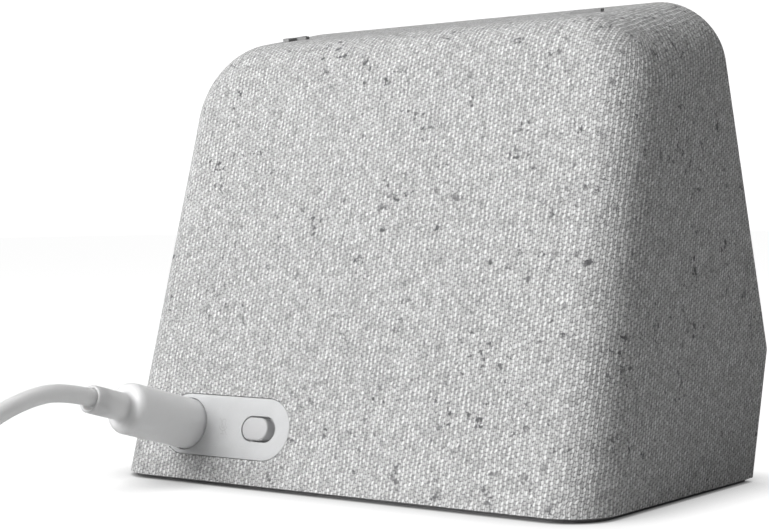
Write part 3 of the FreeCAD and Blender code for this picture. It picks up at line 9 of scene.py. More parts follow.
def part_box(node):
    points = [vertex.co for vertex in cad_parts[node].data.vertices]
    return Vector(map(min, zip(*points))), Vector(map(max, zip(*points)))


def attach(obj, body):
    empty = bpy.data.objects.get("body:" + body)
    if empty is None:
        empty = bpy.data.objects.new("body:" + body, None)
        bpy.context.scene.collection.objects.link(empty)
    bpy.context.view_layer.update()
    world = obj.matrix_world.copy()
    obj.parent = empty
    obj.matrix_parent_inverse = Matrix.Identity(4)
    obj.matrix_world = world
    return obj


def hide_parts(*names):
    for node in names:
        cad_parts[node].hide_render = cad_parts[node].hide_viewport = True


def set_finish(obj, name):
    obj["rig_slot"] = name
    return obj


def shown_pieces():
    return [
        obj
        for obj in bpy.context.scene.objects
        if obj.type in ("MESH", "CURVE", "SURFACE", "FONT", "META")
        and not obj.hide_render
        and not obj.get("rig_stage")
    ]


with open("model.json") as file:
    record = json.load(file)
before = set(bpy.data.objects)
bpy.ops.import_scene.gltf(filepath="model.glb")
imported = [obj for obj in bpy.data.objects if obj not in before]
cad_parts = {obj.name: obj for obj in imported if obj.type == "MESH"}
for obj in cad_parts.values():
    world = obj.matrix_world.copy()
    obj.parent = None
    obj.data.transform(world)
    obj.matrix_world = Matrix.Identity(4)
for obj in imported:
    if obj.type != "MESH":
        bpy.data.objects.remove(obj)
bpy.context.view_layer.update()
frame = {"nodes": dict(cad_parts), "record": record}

MM = 0.001
NODES = frame["nodes"]
RECORD = frame["record"]
FINISHES = {m["slot"]: m for m in RECORD["materials"]}
SLOTS = {s["node"]: s["material_slot"] for s in RECORD["subparts"]}
BODY = {n: body for body, names in RECORD["behaviour"]["bodies"].items() for n in names}


# ---------------------------------------------------------------- planes of the display

HALF_DEPTH = 35.7 * MM
CASE_WIDTH = 113.5 * MM
CASE_HEIGHT = 93.45 * MM
BACK_RUN = 24.2 * MM
BACK_HEIGHT = 87.9 * MM
SCREEN_RUN = 17.5 * MM
BACK_RIM = 9.5 * MM
SIDE_LEAN = 1.45
BACK_BOTTOM = Vector((0, HALF_DEPTH, 0))
BACK_TOP = Vector((0, HALF_DEPTH - BACK_RUN, BACK_HEIGHT))
FRONT_TOP = Vector((0, -HALF_DEPTH + SCREEN_RUN, CASE_HEIGHT))
BACK_UP = (BACK_TOP - BACK_BOTTOM).normalized()
BACK_OUT = Vector((-1, 0, 0)).cross(BACK_UP)
TOP_UP = (BACK_TOP - FRONT_TOP).normalized()
SIDE_TAPER = math.tan(math.radians(SIDE_LEAN))
PORT_MIDDLE = 11.89 * MM
PLUG_X = 38.0 * MM


def on_back(x, s, out=0.0):
    """A point of the back plane: x along X, s up the slope, out in front of it."""
    return BACK_BOTTOM + Vector((x, 0, 0)) + BACK_UP * s + BACK_OUT * out


def back_matrix(x, s, out=0.0):
    """A frame on the back: local x towards -X, y up the slope, z straight out."""
    axes = Matrix((Vector((-1, 0, 0)), BACK_UP, BACK_OUT)).transposed()
    return Matrix.Translation(on_back(x, s, out)) @ axes.to_4x4()


# ---------------------------------------------------------------- mesh helpers


def link(mesh_or_curve, name):
    obj = bpy.data.objects.new(name, mesh_or_curve)
    bpy.context.scene.collection.objects.link(obj)
    return obj


def smooth(mesh, angle=35):
    mesh.polygons.foreach_set("use_smooth", [True] * len(mesh.polygons))
    mesh.set_sharp_from_angle(angle=math.radians(angle))
    mesh.update()


def applied(obj):
    """Turns an object's modifiers into mesh."""
    shown = obj.evaluated_get(bpy.context.evaluated_depsgraph_get())
    mesh = bpy.data.meshes.new_from_object(shown)
    obj.modifiers.clear()
    old, obj.data = obj.data, mesh
    bpy.data.meshes.remove(old)
    return obj


def from_node(node, name):
    """A new object with the shape of a CAD node, with clean flat faces."""
    obj = link(NODES[node].data.copy(), name)
    bm = bmesh.new()
    bm.from_mesh(obj.data)
    bmesh.ops.remove_doubles(bm, verts=bm.verts, dist=0.002 * MM)
    bmesh.ops.dissolve_limit(
        bm, angle_limit=math.radians(0.5), verts=bm.verts, edges=bm.edges
    )
    bm.to_mesh(obj.data)
    bm.free()
    return obj


def softened(node, name, width, segments=3, angle=45):
    """A CAD node's shape with its sharp edges rounded off."""
    obj = from_node(node, name)
    bevel = obj.modifiers.new("edges", "BEVEL")
    bevel.width = width
    bevel.segments = segments
    bevel.limit_method = "ANGLE"
    bevel.angle_limit = math.radians(angle)
    bevel.miter_outer = "MITER_ARC"
    bevel.use_clamp_overlap = True
    applied(obj)
    smooth(obj.data, 40)
    stand_for(obj, node)
    return obj


def stand_for(obj, *nodes):
    """The piece replaces these CAD nodes, rides on their body and takes their finish."""
    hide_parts(*nodes)
    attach(obj, BODY[nodes[0]])
    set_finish(obj, SLOTS[nodes[0]])
    return obj


def lathe(name, profile, matrix, segments=96):
    """A turned piece: profile is (radius, height) pairs, closed at both ends on the axis."""
    bm = bmesh.new()
    rings = []
    for radius, height in profile:
        if radius <= 0:
            rings.append([bm.verts.new((0, 0, height))])
            continue
        turn = [2 * math.pi * i / segments for i in range(segments)]
        rings.append(
            [bm.verts.new((radius * math.cos(a), radius * math.sin(a), height)) for a in turn]
        )
    for low, high in zip(rings, rings[1:]):
        for i in range(segments):
            j = (i + 1) % segments
            a, b = low[i % len(low)], low[j % len(low)]
            c, d = high[j % len(high)], high[i % len(high)]
            corners = [v for k, v in enumerate((a, b, c, d)) if v not in (a, b, c, d)[:k]]
            if len(corners) > 2:
                bm.faces.new(corners)
    bmesh.ops.recalc_face_normals(bm, faces=bm.faces)
    bm.transform(matrix)
    mesh = bpy.data.meshes.new(name)
    bm.to_mesh(mesh)
    bm.free()
    smooth(mesh, 30)
    return link(mesh, name)


def arc(centre_r, centre_h, radius, start, stop, steps=8):
    """Profile points on a circle, angles in degrees, 0 pointing outwards and 90 up."""
    spots = [math.radians(start + (stop - start) * i / steps) for i in range(steps + 1)]
    return [(centre_r + radius * math.cos(a), centre_h + radius * math.sin(a)) for a in spots]


# ---------------------------------------------------------------- material helpers


class Nodes:
    """A material's node tree with short calls for the nodes used here."""

    def __init__(self, name, **sockets):
        self.material = bpy.data.materials.new(name)
        self.material.use_nodes = True
        self.tree = self.material.node_tree
        self.tree.nodes.clear()
        self.shader = self.tree.nodes.new("ShaderNodeBsdfPrincipled")
        out = self.tree.nodes.new("ShaderNodeOutputMaterial")
        self.tree.links.new(self.shader.outputs[0], out.inputs[0])
        for socket, value in sockets.items():
            self.shader.inputs[socket.replace("_", " ")].default_value = value

    def put(self, kind, inputs=(), **settings):
        node = self.tree.nodes.new(kind)
        for key, value in settings.items():
            setattr(node, key, value)
        for socket, value in dict(inputs).items():
            self.feed(node.inputs[socket], value)
        return node

    def feed(self, socket, value):
        if isinstance(value, bpy.types.NodeSocket):
            self.tree.links.new(value, socket)
        else:
            socket.default_value = value

    def math(self, operation, a, b=0.0, clamp=False):
        settings = {"operation": operation, "use_clamp": clamp}
        return self.put("ShaderNodeMath", {0: a, 1: b}, **settings).outputs[0]

    def place(self):
        """Object coordinates in millimetres."""
        spot = self.put("ShaderNodeTexCoord").outputs["Object"]
        inputs = {0: spot, "Scale": 1 / MM}
        return self.put("ShaderNodeVectorMath", inputs, operation="SCALE").outputs[0]

    def noise(self, vector, scale, detail=3.0, roughness=0.55):
        inputs = {"Vector": vector, "Scale": scale, "Detail": detail, "Roughness": roughness}
        return self.put("ShaderNodeTexNoise", inputs).outputs["Fac"]

    def stretch(self, value, low, high, to_low=0.0, to_high=1.0):
        inputs = {"Value": value, 1: low, 2: high, 3: to_low, 4: to_high}
        return self.put("ShaderNodeMapRange", inputs, clamp=True).outputs[0]

    def blend(self, factor, one, two):
        node = self.put("ShaderNodeMix", data_type="RGBA")
        self.feed(node.inputs[0], factor)
        self.feed(node.inputs[6], (*one, 1.0) if isinstance(one, tuple) else one)
        self.feed(node.inputs[7], (*two, 1.0) if isinstance(two, tuple) else two)
        return node.outputs[2]

    def bump(self, height, depth):
        inputs = {"Height": height, "Distance": depth, "Strength": 1.0}
        return self.put("ShaderNodeBump", inputs).outputs[0]

    def use(self, **sockets):
        for socket, value in sockets.items():
            self.feed(self.shader.inputs[socket.replace("_", " ")], value)
        return self.material


def shades(colour, spread):
    """A darker and a lighter version of a colour."""
    return tuple(tuple(min(1.0, c * (1 + sign * spread)) for c in colour) for sign in (-1, 1))


def moulded(name, colour, roughness=0.5, grain=0.012, scale=6.0, spread=0.03, **more):
    """Moulded plastic or rubber: a fine spark-eroded grain and a little unevenness."""
    nodes = Nodes(name, **more)
    place = nodes.place()
    dark, light = shades(colour, spread)
    tone = nodes.stretch(nodes.noise(place, 0.35, 4), 0.3, 0.7)
    speck = nodes.stretch(nodes.noise(place, scale, 2), 0.35, 0.65)
    half_tone = nodes.math("MULTIPLY", tone, 0.5)
    both = nodes.math("ADD", half_tone, nodes.math("MULTIPLY", speck, 0.5))
    mottled = nodes.blend(both, dark, light)
    rough = nodes.stretch(nodes.noise(place, 1.1, 3), 0.3, 0.7, roughness * 0.9, roughness * 1.1)
    normal = nodes.bump(speck, grain * MM)
    return nodes.use(Base_Color=mottled, Roughness=rough, Normal=normal)


def metal(name, colour, roughness):
    """Rolled or plated metal with fine lines drawn along X."""
    nodes = Nodes(name, Metallic=1.0)
    inputs = {0: nodes.place(), 1: (1.0, 12.0, 12.0)}
    lines = nodes.put("ShaderNodeVectorMath", inputs, operation="MULTIPLY").outputs[0]
    streak = nodes.noise(lines, 1.5, 4)
    dark, light = shades(colour, 0.06)
    rough = nodes.stretch(streak, 0.3, 0.7, roughness * 0.8, roughness * 1.2)
    normal = nodes.bump(streak, 0.006 * MM)
    return nodes.use(Base_Color=nodes.blend(streak, dark, light), Roughness=rough, Normal=normal)


# Knit, in millimetres: the pitch of the stitch columns and of the stitches along them.
WALE = 0.92
COURSE = 0.86
SLANT = 0.35
# Greys of the duller strands, the brighter strands, the painted shade in the gaps between them and the
# flecks.
GROUND_GREY = (0.30, 0.58)
BRIGHT_GREY = (0.60, 0.93)
GAP_SHADE_GREY = 0.115
FLECK_COLOUR = (0.12, 0.12, 0.125)
KNIT_RELIEF = 0.17 * MM


def stitch_rows(nodes, across, along, shift, slant):
    """One set of stitch columns: each cell's number and the place inside it, from -0.5 to 0.5."""
    across = nodes.math("ADD", nodes.math("DIVIDE", across, WALE), shift)
    column = nodes.math("FLOOR", across)
    a = nodes.math("SUBTRACT", nodes.math("SUBTRACT", across, column), 0.5)
    along = nodes.math("DIVIDE", along, COURSE)
    along = nodes.math("ADD", along, nodes.math("MULTIPLY", a, slant))
    brick = nodes.math("MULTIPLY", nodes.math("FLOORED_MODULO", column, 2.0), 0.5)
    along = nodes.math("ADD", along, nodes.math("ADD", brick, shift))
    row = nodes.math("FLOOR", along)
    b = nodes.math("SUBTRACT", nodes.math("SUBTRACT", along, row), 0.5)
    cell = nodes.put("ShaderNodeCombineXYZ", {0: column, 1: row, 2: shift}).outputs[0]
    return a, b, cell


def ridge(nodes, a, b, narrow, power):
    """A rounded strand: high along its middle, falling to its sides and its two ends."""
    sides = nodes.math("POWER", nodes.math("ABSOLUTE", nodes.math("MULTIPLY", a, narrow)), 2.0)
    ends = nodes.math("POWER", nodes.math("ABSOLUTE", nodes.math("MULTIPLY", b, 1.85)), 4.0)
    rise = nodes.math("SUBTRACT", 1.0, nodes.math("ADD", sides, ends), clamp=True)
    return nodes.math("POWER", rise, power)


def knit_material():
    """Heather knit: bright slanted strands in bricked columns over duller ones, with dark flecks; each
    strand's grey falls with its height and the gaps are dark, painted shade.
    """
    nodes = Nodes("heather_knit", Roughness=0.9, Sheen_Weight=0.12, Sheen_Roughness=0.5)
    nodes.shader.inputs["Specular IOR Level"].default_value = 0.15
    spot = nodes.put("ShaderNodeUVMap", uv_map="knit").outputs[0]
    parts = nodes.put("ShaderNodeSeparateXYZ", {0: spot}).outputs
    place = nodes.place()
    sway = nodes.math("MULTIPLY", nodes.math("SUBTRACT", nodes.noise(place, 0.35, 2), 0.5), 0.7)
    jitter = nodes.math("MULTIPLY", nodes.math("SUBTRACT", nodes.noise(place, 0.95, 3), 0.5), 0.75)
    across = nodes.math("ADD", parts[0], nodes.math("ADD", sway, jitter))
    along = nodes.math("ADD", parts[1], nodes.math("SUBTRACT", sway, jitter))

    a, b, cell = stitch_rows(nodes, across, along, 0.0, SLANT)
    own = nodes.put("ShaderNodeTexWhiteNoise", {"Vector": cell}, noise_dimensions="3D").outputs[0]
    front = ridge(nodes, a, b, 2.7, 0.6)
    c, d, under = stitch_rows(nodes, across, along, 0.5, -SLANT)
    other = nodes.put("ShaderNodeTexWhiteNoise", {"Vector": under}, noise_dimensions="3D").outputs[0]
    back = ridge(nodes, c, d, 3.0, 0.7)
    height = nodes.math("MAXIMUM", front, nodes.math("MULTIPLY", back, 0.62))

    stretched = nodes.put(
        "ShaderNodeVectorMath", {0: place, 1: (6.0, 6.0, 1.6)}, operation="MULTIPLY"
    ).outputs[0]
    fibre = nodes.noise(stretched, 1.0, 4, 0.75)
    relief = nodes.math("ADD", height, nodes.math("MULTIPLY", fibre, 0.35))

    ground = nodes.stretch(other, 0.0, 1.0, *GROUND_GREY)
    bright = nodes.stretch(own, 0.0, 1.0, *BRIGHT_GREY)
    # Painted shade: each strand's grey is scaled by its own height, so it darkens to its sides and ends, and
    # the gaps get the dark gap grey.
    level = nodes.math("MULTIPLY", back, ground)
    level = nodes.math("ADD", level, GAP_SHADE_GREY)
    level = nodes.math("MAXIMUM", level, nodes.math("MULTIPLY", front, bright))
    level = nodes.math("MULTIPLY", level, nodes.stretch(fibre, 0.2, 0.8, 0.86, 1.14))
    level = nodes.math("MULTIPLY", level, nodes.stretch(nodes.noise(place, 0.5, 3), 0.2, 0.8, 0.92, 1.08))
    grey = nodes.put("ShaderNodeCombineColor", {0: level, 1: level, 2: level}).outputs[0]

    clump = nodes.stretch(nodes.noise(place, 0.12, 2), 0.48, 0.62)
    fleck = nodes.stretch(nodes.noise(place, 0.62, 3, 0.6), 0.59, 0.66)
    fleck = nodes.math("MULTIPLY", fleck, nodes.math("ADD", nodes.math("MULTIPLY", clump, 0.62), 0.33))
    grey = nodes.blend(fleck, grey, FLECK_COLOUR)
    return nodes.use(Base_Color=grey, Normal=nodes.bump(relief, KNIT_RELIEF))


def glossy_black(name, roughness):
    """Black glass or gloss plastic with faint smears."""
    nodes = Nodes(name, Coat_Weight=1.0, Coat_Roughness=0.02, IOR=1.5)
    place = nodes.place()
    smear = nodes.noise(place, 0.08, 5, 0.6)
    rough = nodes.stretch(smear, 0.35, 0.7, roughness, roughness * 2.2)
    colour = nodes.blend(smear, (0.004, 0.004, 0.005), (0.007, 0.007, 0.008))
    return nodes.use(Base_Color=colour, Roughness=rough)


def woven(name, colour, pitch):
    """A plain woven band."""
    nodes = Nodes(name, Roughness=0.9)
    parts = nodes.put("ShaderNodeSeparateXYZ", {0: nodes.place()}).outputs
    turns = [
        nodes.math("SINE", nodes.math("MULTIPLY", nodes.math("ADD", parts[i], parts[2]), k))
        for i, k in ((1, 2 * math.pi / pitch), (0, 2 * math.pi / pitch))
    ]
    weave = nodes.stretch(nodes.math("MULTIPLY", *turns), -1.0, 1.0)
    dark, light = shades(colour, 0.35)
    normal = nodes.bump(weave, 0.08 * MM)
    return nodes.use(Base_Color=nodes.blend(weave, dark, light), Normal=normal)


def board_material(name, colour):
    """Solder mask with faint copper traces under it."""
    nodes = Nodes(name, Roughness=0.35)
    place = nodes.place()
    cells = nodes.put("ShaderNodeTexBrick", {"Vector": place, "Scale": 0.35}).outputs["Fac"]
    tracks = nodes.math("MULTIPLY", cells, 0.6)
    tone = nodes.math("ADD", tracks, nodes.math("MULTIPLY", nodes.noise(place, 1.2), 0.4))
    dark, light = shades(colour, 0.4)
    normal = nodes.bump(cells, 0.02 * MM)
    return nodes.use(Base_Color=nodes.blend(tone, dark, light), Normal=normal)


def slot_colour(slot):
    return tuple(FINISHES[slot]["base_color"][:3])


SOFT = {"Subsurface_Weight": 0.7, "Subsurface_Scale": 3.0 * MM, "Subsurface_Radius": (1.0, 1.0, 1.0)}


def make_materials():
    made = {
        "knit": knit_material(),
        "screen_glass": glossy_black("black_glass", 0.035),
        "screen_panel": glossy_black("dark_panel", 0.15),
        "bezel_plastic": glossy_black("bezel_black", 0.12),
        "circuit_board": board_material("solder_mask", slot_colour("circuit_board")),
        "tie_fabric": woven("tie_weave", slot_colour("tie_fabric"), 0.9),
        "panel_plastic": moulded("panel_grain", (0.62, 0.625, 0.63), 0.5, 0.02, 7.0, 0.05),
        "base_plastic": moulded("base_grain", (0.21, 0.21, 0.212), 0.6, 0.015, 6.0, 0.06),
        "foot_rubber": moulded("foot_grain", (0.19, 0.19, 0.192), 0.8, 0.02, 5.0, 0.06),
        "knob_plastic": moulded("knob_grain", (0.54, 0.54, 0.545), 0.45, 0.012, 8.0, 0.03),
        "key_plastic": moulded("key_grain", slot_colour("key_plastic"), 0.5, 0.012, 8.0, 0.06),
        "plug_plastic": moulded("plug_grain", (0.93, 0.935, 0.94), 0.36, 0.004, 4.0, 0.02, **SOFT),
        "lead_jacket": moulded("jacket_grain", (0.95, 0.95, 0.95), 0.42, 0.006, 3.0, 0.02, **SOFT),
    }
    metals = {"brass", "chrome", "aluminium", "brushed_steel", "cast_iron"}
    for slot, finish in FINISHES.items():
        if slot in made:
            continue
        if finish["class"] in metals:
            made[slot] = metal(slot, slot_colour(slot), 0.28)
        else:
            made[slot] = moulded(slot, slot_colour(slot), 0.6, 0.015, 6.0, 0.06)
    return made


# ---------------------------------------------------------------- knitted cover


def knit_place(p, wraps_sideways):
    """Where a point of the cover lies on the unrolled knit, in metres: across and up."""
    grow = 1 / BACK_UP.z
    half = CASE_WIDTH / 2 - SIDE_TAPER * p.z
    if wraps_sideways:
        side = math.copysign(1, p.x)
        axis_x = half - BACK_RIM
        back_y = HALF_DEPTH - p.z * (-BACK_UP.y / BACK_UP.z)
        axis_y = back_y - BACK_RIM * grow
        if p.y > axis_y:
            turn = math.atan2(max(abs(p.x) - axis_x, 0), p.y - axis_y)
            return Vector((side * (axis_x + BACK_RIM * turn), p.z * grow))
        run = BACK_RIM * math.pi / 2 + axis_y - p.y
        return Vector((side * (axis_x + run), p.z * grow))
    top_out = Vector((1, 0, 0)).cross(TOP_UP)
    bend = BACK_OUT.angle(top_out)
    reach = BACK_RIM * math.tan(bend / 2)
    arc_start = BACK_TOP - BACK_UP * reach
    arc_end = BACK_TOP - TOP_UP * reach
    axis = arc_start - BACK_OUT * BACK_RIM
    low, high = (p - arc_start).dot(BACK_UP), (p - arc_end).dot(TOP_UP)
    start = arc_start.z * grow
    if p.y < FRONT_TOP.y or high < 0:
        flat = start + BACK_RIM * bend - high
        if p.y < FRONT_TOP.y:
            flat = start + BACK_RIM * bend + 25 * MM + (FRONT_TOP.z - p.z) * 1.03
        return Vector((p.x, flat))
    if low < 0:
        return Vector((p.x, p.z * grow))
    arm = Vector((0, p.y - axis.y, p.z - axis.z))
    return Vector((p.x, start + BACK_RIM * BACK_OUT.angle(arm, 0)))


def make_knit_cover():
    """The stretched cover: the CAD shell, smooth shaded, with the unrolled knit's coordinates."""
    cover = link(NODES["fabric_cover"].data.copy(), "knit_cover")
    bm = bmesh.new()
    bm.from_mesh(cover.data)
    bmesh.ops.remove_doubles(bm, verts=bm.verts, dist=0.002 * MM)
    layer = bm.loops.layers.uv.new("knit")
    bm.normal_update()
    for face in bm.faces:
        sideways = abs(face.normal.x) > abs(face.normal.z) and abs(face.normal.x) > 0.25
        for loop in face.loops:
            loop[layer].uv = knit_place(loop.vert.co, sideways) / MM
    bm.to_mesh(cover.data)
    bm.free()
    smooth(cover.data, 30)
    stand_for(cover, "fabric_cover")
    return cover


# ---------------------------------------------------------------- plug, lead and adapter

CORD_DIAMETER = 3.4 * MM
PLUG_LENGTH = 18.0
RELIEF_LENGTH = 9.1
COIL_CENTRE = (16.0, 131.0)
COIL_TRACKS = (22.0, 18.5, 15.0)
COIL_LAYERS = (1.7, 5.1, 8.5, 11.9)
COIL_TURNS = 12
POINTS_A_TURN = 14
SHIFT_FROM = 5 / 6  # the share of a turn after which it moves to the next track
LEAD_OUT = [
    (38.0, 55.69, 18.18),
    (38.0, 65.23, 20.81),
    (38.0, 74.6, 19.9),
    (38.0, 84.2, 16.4),
    (38.0, 93.0, 10.4),
    (38.2, 101.0, 4.5),
    (38.6, 110.3, 1.7),
    (38.5, 120.7, 1.7),
    (38.0, 131.0, 1.7),
]
LEAD_IN = [
    (21.0, 108.2, 11.9),
    (29.2, 106.1, 12.9),
    (37.0, 106.0, 13.0),
]


def coil_points():
    """Nearly twelve turns, anticlockwise from above: in, out, in and out over four layers."""
    tracks = [r for i in range(len(COIL_LAYERS)) for r in (COIL_TRACKS if i % 2 == 0 else COIL_TRACKS[::-1])]
    heights = [z for z in COIL_LAYERS for _ in COIL_TRACKS]
    tracks.append(COIL_TRACKS[0])
    heights.append(COIL_LAYERS[-1])
    points = []
    for turn in range(COIL_TURNS):
        for step in range(1, POINTS_A_TURN + 1):
            share = step / POINTS_A_TURN
            shift = min(1.0, max(0.0, (share - SHIFT_FROM) * 6))
            shift = shift * shift * (3 - 2 * shift)
            radius = tracks[turn] + (tracks[turn + 1] - tracks[turn]) * shift
            height = heights[turn] + (heights[turn + 1] - heights[turn]) * shift
            angle = 2 * math.pi * share
            x = COIL_CENTRE[0] + radius * math.cos(angle)
            y = COIL_CENTRE[1] + radius * math.sin(angle)
            points.append((x, y, height))
    return points[:-4]


def make_lead():
    """The whole power lead as one smooth curve, from the plug to the adapter."""
    points = LEAD_OUT + coil_points() + LEAD_IN
    curve = bpy.data.curves.new("power_cord", "CURVE")
    curve.dimensions = "3D"
    spline = curve.splines.new("NURBS")
    spline.points.add(len(points) - 1)
    # With a bevel of 1 a point's radius is the tube's own, and the curve's box is the tube's box.
    for point, spot in zip(spline.points, points):
        point.co = (*(c * MM for c in spot), 1.0)
        point.radius = CORD_DIAMETER / 2
    spline.order_u = 3
    spline.use_endpoint_u = True
    spline.resolution_u = 8
    curve.bevel_depth = 1.0
    curve.bevel_resolution = 8
    curve.use_fill_caps = True
    return link(curve, "power_cord")


def make_plug():
    """The plug's barrel with its rounded shoulder, and the sleeve that the cord comes out of."""
    r, end = 5.05, PLUG_LENGTH
    profile = [(0, -1.6), (r - 0.1, -1.6), (r, -1.5), (r, end * 0.5)]
    profile += arc(r - 1.45, end - 1.45, 1.45, 0, 86, 14)
    profile += arc(3.55, end + 0.85, 0.84, 268, 186, 10)
    profile += [(2.65, end + 1.0), (0, end + 1.0)]
    barrel = lathe("plug_body", scaled(profile), back_matrix(PLUG_X, PORT_MIDDLE), 128)
    stand_for(barrel, "plug_barrel")

    r, bore = 2.72, 2.1
    end = PLUG_LENGTH + RELIEF_LENGTH
    profile = [(0, PLUG_LENGTH - 0.5), (r, PLUG_LENGTH - 0.5), (r, end - 2.0)]
    profile += arc(r - 0.30, end - 0.30, 0.30, 0, 180, 12)
    profile += [(bore, end - 0.6), (bore, end - 2.95), (bore - 0.1, end - 3.0), (0, end - 3.0)]
    sleeve = lathe("plug_sleeve_end", scaled(profile), back_matrix(PLUG_X, PORT_MIDDLE), 96)
    stand_for(sleeve, "plug_strain_relief")
    return barrel, sleeve


def scaled(profile):
    return [(r * MM, h * MM) for r, h in profile]


def make_adapter_relief():
    """A tapered, ringed strain relief where the lead goes into the adapter."""
    low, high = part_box("adapter_strain_relief")
    centre_y, centre_z = (low[1] + high[1]) / 2, (low[2] + high[2]) / 2
    length = (high[0] - low[0]) / MM
    profile = [(0, 0), (3.35, 0)]
    rings = 3
    for i in range(rings):
        start = 0.9 + i * 1.8
        wide = 3.3 - 0.28 * i
        profile += [(wide, start), (wide - 0.55, start + 0.25), (wide - 0.6, start + 0.75)]
        profile += [(wide - 0.15, start + 1.0)]
    profile += arc(2.05, length - 0.35, 0.33, 0, 90, 6)
    profile += [(0, length - 0.02)]
    turn = Matrix.Rotation(math.radians(-90), 4, "Y")
    spot = Matrix.Translation((high[0], centre_y, centre_z)) @ turn
    relief = lathe("adapter_relief", scaled(profile), spot, 72)
    return stand_for(relief, "adapter_strain_relief")


def make_tie():
    """The strap round the coil: a rounded loop of woven band."""
    low, high = (Vector(c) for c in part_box("lead_tie"))
    centre = (low + high) / 2
    thick = 0.6 * MM
    half_x, half_z = (high.x - low.x) / 2 - thick / 2, (high.z - low.z) / 2 - thick / 2
    corner = 1.6 * MM
    loop = []
    for i, (sx, sz) in enumerate(((1, 1), (-1, 1), (-1, -1), (1, -1))):
        for step in range(7):
            a = math.radians(90 * i + 15 * step)
            x = sx * (half_x - corner) + corner * math.cos(a)
            z = sz * (half_z - corner) + corner * math.sin(a)
            loop.append((x, z))
    bm = bmesh.new()
    rows = []
    columns = 9
    for x, z in loop:
        row = []
        for j in range(columns):
            share = j / (columns - 1)
            y = low.y + (high.y - low.y) * share
            row.append(bm.verts.new((centre.x + x, y, centre.z + z)))
        rows.append(row)
    for i, row in enumerate(rows):
        ahead = rows[(i + 1) % len(rows)]
        for j in range(columns - 1):
            bm.faces.new((row[j], row[j + 1], ahead[j + 1], ahead[j]))
    bmesh.ops.recalc_face_normals(bm, faces=bm.faces)
    mesh = bpy.data.meshes.new("cord_tie")
    bm.to_mesh(mesh)
    bm.free()
    tie = link(mesh, "cord_tie")
    shell = tie.modifiers.new("thickness", "SOLIDIFY")
    shell.thickness = thick
    shell.offset = 0
    applied(tie)
    smooth(tie.data, 50)
    return stand_for(tie, "lead_tie")


# ---------------------------------------------------------------- marks and small details


MARK_STROKE = 0.15
MARK_X = 28.1
CAPSULE_RADIUS = 0.48
CUP_RADIUS = 0.95


def stroke(bm, points):
    """A flat line of the mark, in the panel's own axes."""
    spots = [Vector((x * MM, y * MM, 0)) for x, y in points]
    half = MARK_STROKE * MM / 2
    rails = []
    for i, spot in enumerate(spots):
        ahead = spots[min(i + 1, len(spots) - 1)] - spots[max(i - 1, 0)]
        side = Vector((-ahead.y, ahead.x, 0)).normalized() * half
        rails.append((bm.verts.new(spot + side), bm.verts.new(spot - side)))
    for (a, b), (c, d) in zip(rails, rails[1:]):
        bm.faces.new((a, b, d, c))


def make_mic_mark():
    """The crossed-out microphone sign beside the slider, engraved on the real panel: a thin sheet in the
    darker knob grey stands in for the shade in its grooves, painted shade.
    """
    bm = bmesh.new()
    turn = [math.radians(15 * i) for i in range(13)]
    head, foot = 0.95, 0.15
    capsule = [(CAPSULE_RADIUS * math.cos(a), head + CAPSULE_RADIUS * math.sin(a)) for a in turn]
    capsule += [(-CAPSULE_RADIUS * math.cos(a), foot - CAPSULE_RADIUS * math.sin(a)) for a in turn]
    cup = [(-CUP_RADIUS * math.cos(a), 0.1 - CUP_RADIUS * math.sin(a)) for a in turn]
    stem = [(0, -0.85), (0, -1.5)]
    stand = [(-0.55, -1.5), (0.55, -1.5)]
    crossing = [(-1.15, 1.65), (1.15, -1.65)]
    for line in (capsule + capsule[:1], cup, stem, stand, crossing):
        stroke(bm, line)
    bmesh.ops.recalc_face_normals(bm, faces=bm.faces)
    bm.transform(back_matrix(MARK_X * MM, PORT_MIDDLE, -0.035 * MM))
    mesh = bpy.data.meshes.new("mic_sign")
    bm.to_mesh(mesh)
    bm.free()
    mark = link(mesh, "mic_sign")
    shell = mark.modifiers.new("thickness", "SOLIDIFY")
    shell.thickness = 0.03 * MM
    applied(mark)
    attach(mark, "display")
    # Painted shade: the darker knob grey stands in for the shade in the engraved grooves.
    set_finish(mark, "knob_plastic")
    return mark


# ---------------------------------------------------------------- put together

materials = make_materials()


def paint(obj, slot):
    obj.data.materials.clear()
    obj.data.materials.append(materials[slot])


CAMERA_LENS = 81.49
CAMERA_SPOT = (-0.20446, 0.28428, 0.05130)
CAMERA_RIGHT = (-0.79490, -0.60663, -0.01140)
CAMERA_UP = (0.00623, -0.02694, 0.99962)
CAMERA_AIM = (0.60670, -0.79453, -0.02520)


def make_camera():
    """The camera, looking at the back, the top and one side."""
    data = bpy.data.cameras.new("camera")
    data.sensor_width = 36.0
    data.lens = CAMERA_LENS
    data.clip_start = 0.01
    data.clip_end = 50.0
    camera = link(data, "camera")
    back = -Vector(CAMERA_AIM)
    axes = Matrix((Vector(CAMERA_RIGHT), Vector(CAMERA_UP), back)).transposed().to_4x4()
    camera.matrix_world = Matrix.Translation(CAMERA_SPOT) @ axes
    bpy.context.scene.camera = camera


def area_light(name, spot, target, size, watts):
    """A soft round light aimed at a point."""
    data = bpy.data.lights.new(name, "AREA")
    data.shape = "DISK"
    data.size = size
    data.energy = watts
    light = link(data, name)
    light.location = spot
    aim = Vector(target) - Vector(spot)
    light.rotation_euler = aim.to_track_quat("-Z", "Y").to_euler()


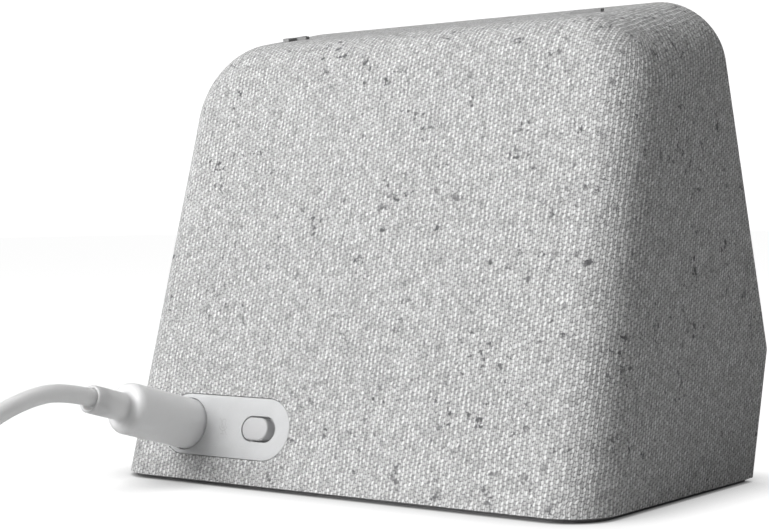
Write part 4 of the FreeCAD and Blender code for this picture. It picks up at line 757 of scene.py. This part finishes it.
def make_studio():
    """A white floor and surround, soft lights on the back and from above, and a weak front fill. The floor's
    glow is dimmed by ambient occlusion near the display: a painted contact shadow.
    """
    floor_mesh = bpy.data.meshes.new("floor")
    reach = 6.0
    corners = [(-reach, -reach, 0), (reach, -reach, 0), (reach, reach, 0), (-reach, reach, 0)]
    floor_mesh.from_pydata(corners, [], [(0, 1, 2, 3)])
    floor = link(floor_mesh, "floor")
    nodes = Nodes("floor_white", Roughness=0.9)
    nodes.shader.inputs["Specular IOR Level"].default_value = 0.0
    seen = nodes.put("ShaderNodeLightPath").outputs["Is Camera Ray"]
    tone = nodes.blend(seen, (0.72, 0.72, 0.72), (0.18, 0.18, 0.18))
    # Painted contact shadow: the glow seen by the camera darkens where ambient occlusion finds the display
    # close by.
    painted_contact_shadow = nodes.put("ShaderNodeAmbientOcclusion", {"Distance": 12.0 * MM}, samples=12).outputs["AO"]
    glow = nodes.math("MULTIPLY", nodes.math("MULTIPLY", seen, 0.97), painted_contact_shadow)
    nodes.use(Base_Color=tone, Emission_Color=(1.0, 1.0, 1.0, 1.0), Emission_Strength=glow)
    floor.data.materials.append(nodes.material)
    floor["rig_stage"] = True

    world = bpy.data.worlds.new("studio")
    bpy.context.scene.world = world
    world.use_nodes = True
    tree = world.node_tree
    path = tree.nodes.new("ShaderNodeLightPath")
    level = tree.nodes.new("ShaderNodeMapRange")
    tree.links.new(path.outputs["Is Camera Ray"], level.inputs[0])
    level.inputs[3].default_value = 0.075
    level.inputs[4].default_value = 1.1
    background = tree.nodes["Background"]
    background.inputs[0].default_value = (1, 1, 1, 1)
    tree.links.new(level.outputs[0], background.inputs[1])

    area_light("key", (0.45, 0.95, 0.55), (0.0, 0.0, 0.045), 0.7, 12.4)
    area_light("overhead", (0.1, 0.25, 1.0), (0.0, 0.0, 0.045), 0.8, 3.4)
    area_light("front_fill", (-0.5, -0.8, 0.7), (0.0, 0.0, 0.045), 0.8, 0.7)
    bpy.context.scene.view_settings.view_transform = "Standard"


make_camera()
make_studio()

lead = make_lead()
barrel, sleeve = make_plug()
adapter_relief = make_adapter_relief()
tie = make_tie()
adapter = softened("wall_adapter", "adapter_case", 1.6 * MM, 5)
blades = softened("adapter_blades", "adapter_pins", 0.25 * MM, 2)
stand_for(lead, "power_lead", "lead_coil", "lead_tail")
cover = make_knit_cover()
softened("port_panel", "port_plate", 0.14 * MM, 3)
softened("mute_slider", "mute_knob_cap", 0.35 * MM, 4)
softened("plus_button", "plus_key", 0.18 * MM, 3)
softened("minus_button", "minus_key", 0.18 * MM, 3)
softened("cover_glass", "front_glass", 0.25 * MM, 3)
softened("front_bezel", "bezel_ring", 0.15 * MM, 2)
softened("rubber_foot", "foot_pad", 0.2 * MM, 2)
softened("base_plate", "base_panel", 0.12 * MM, 2)
mark = make_mic_mark()

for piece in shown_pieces():
    paint(piece, piece.get("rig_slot") or SLOTS[piece.name])
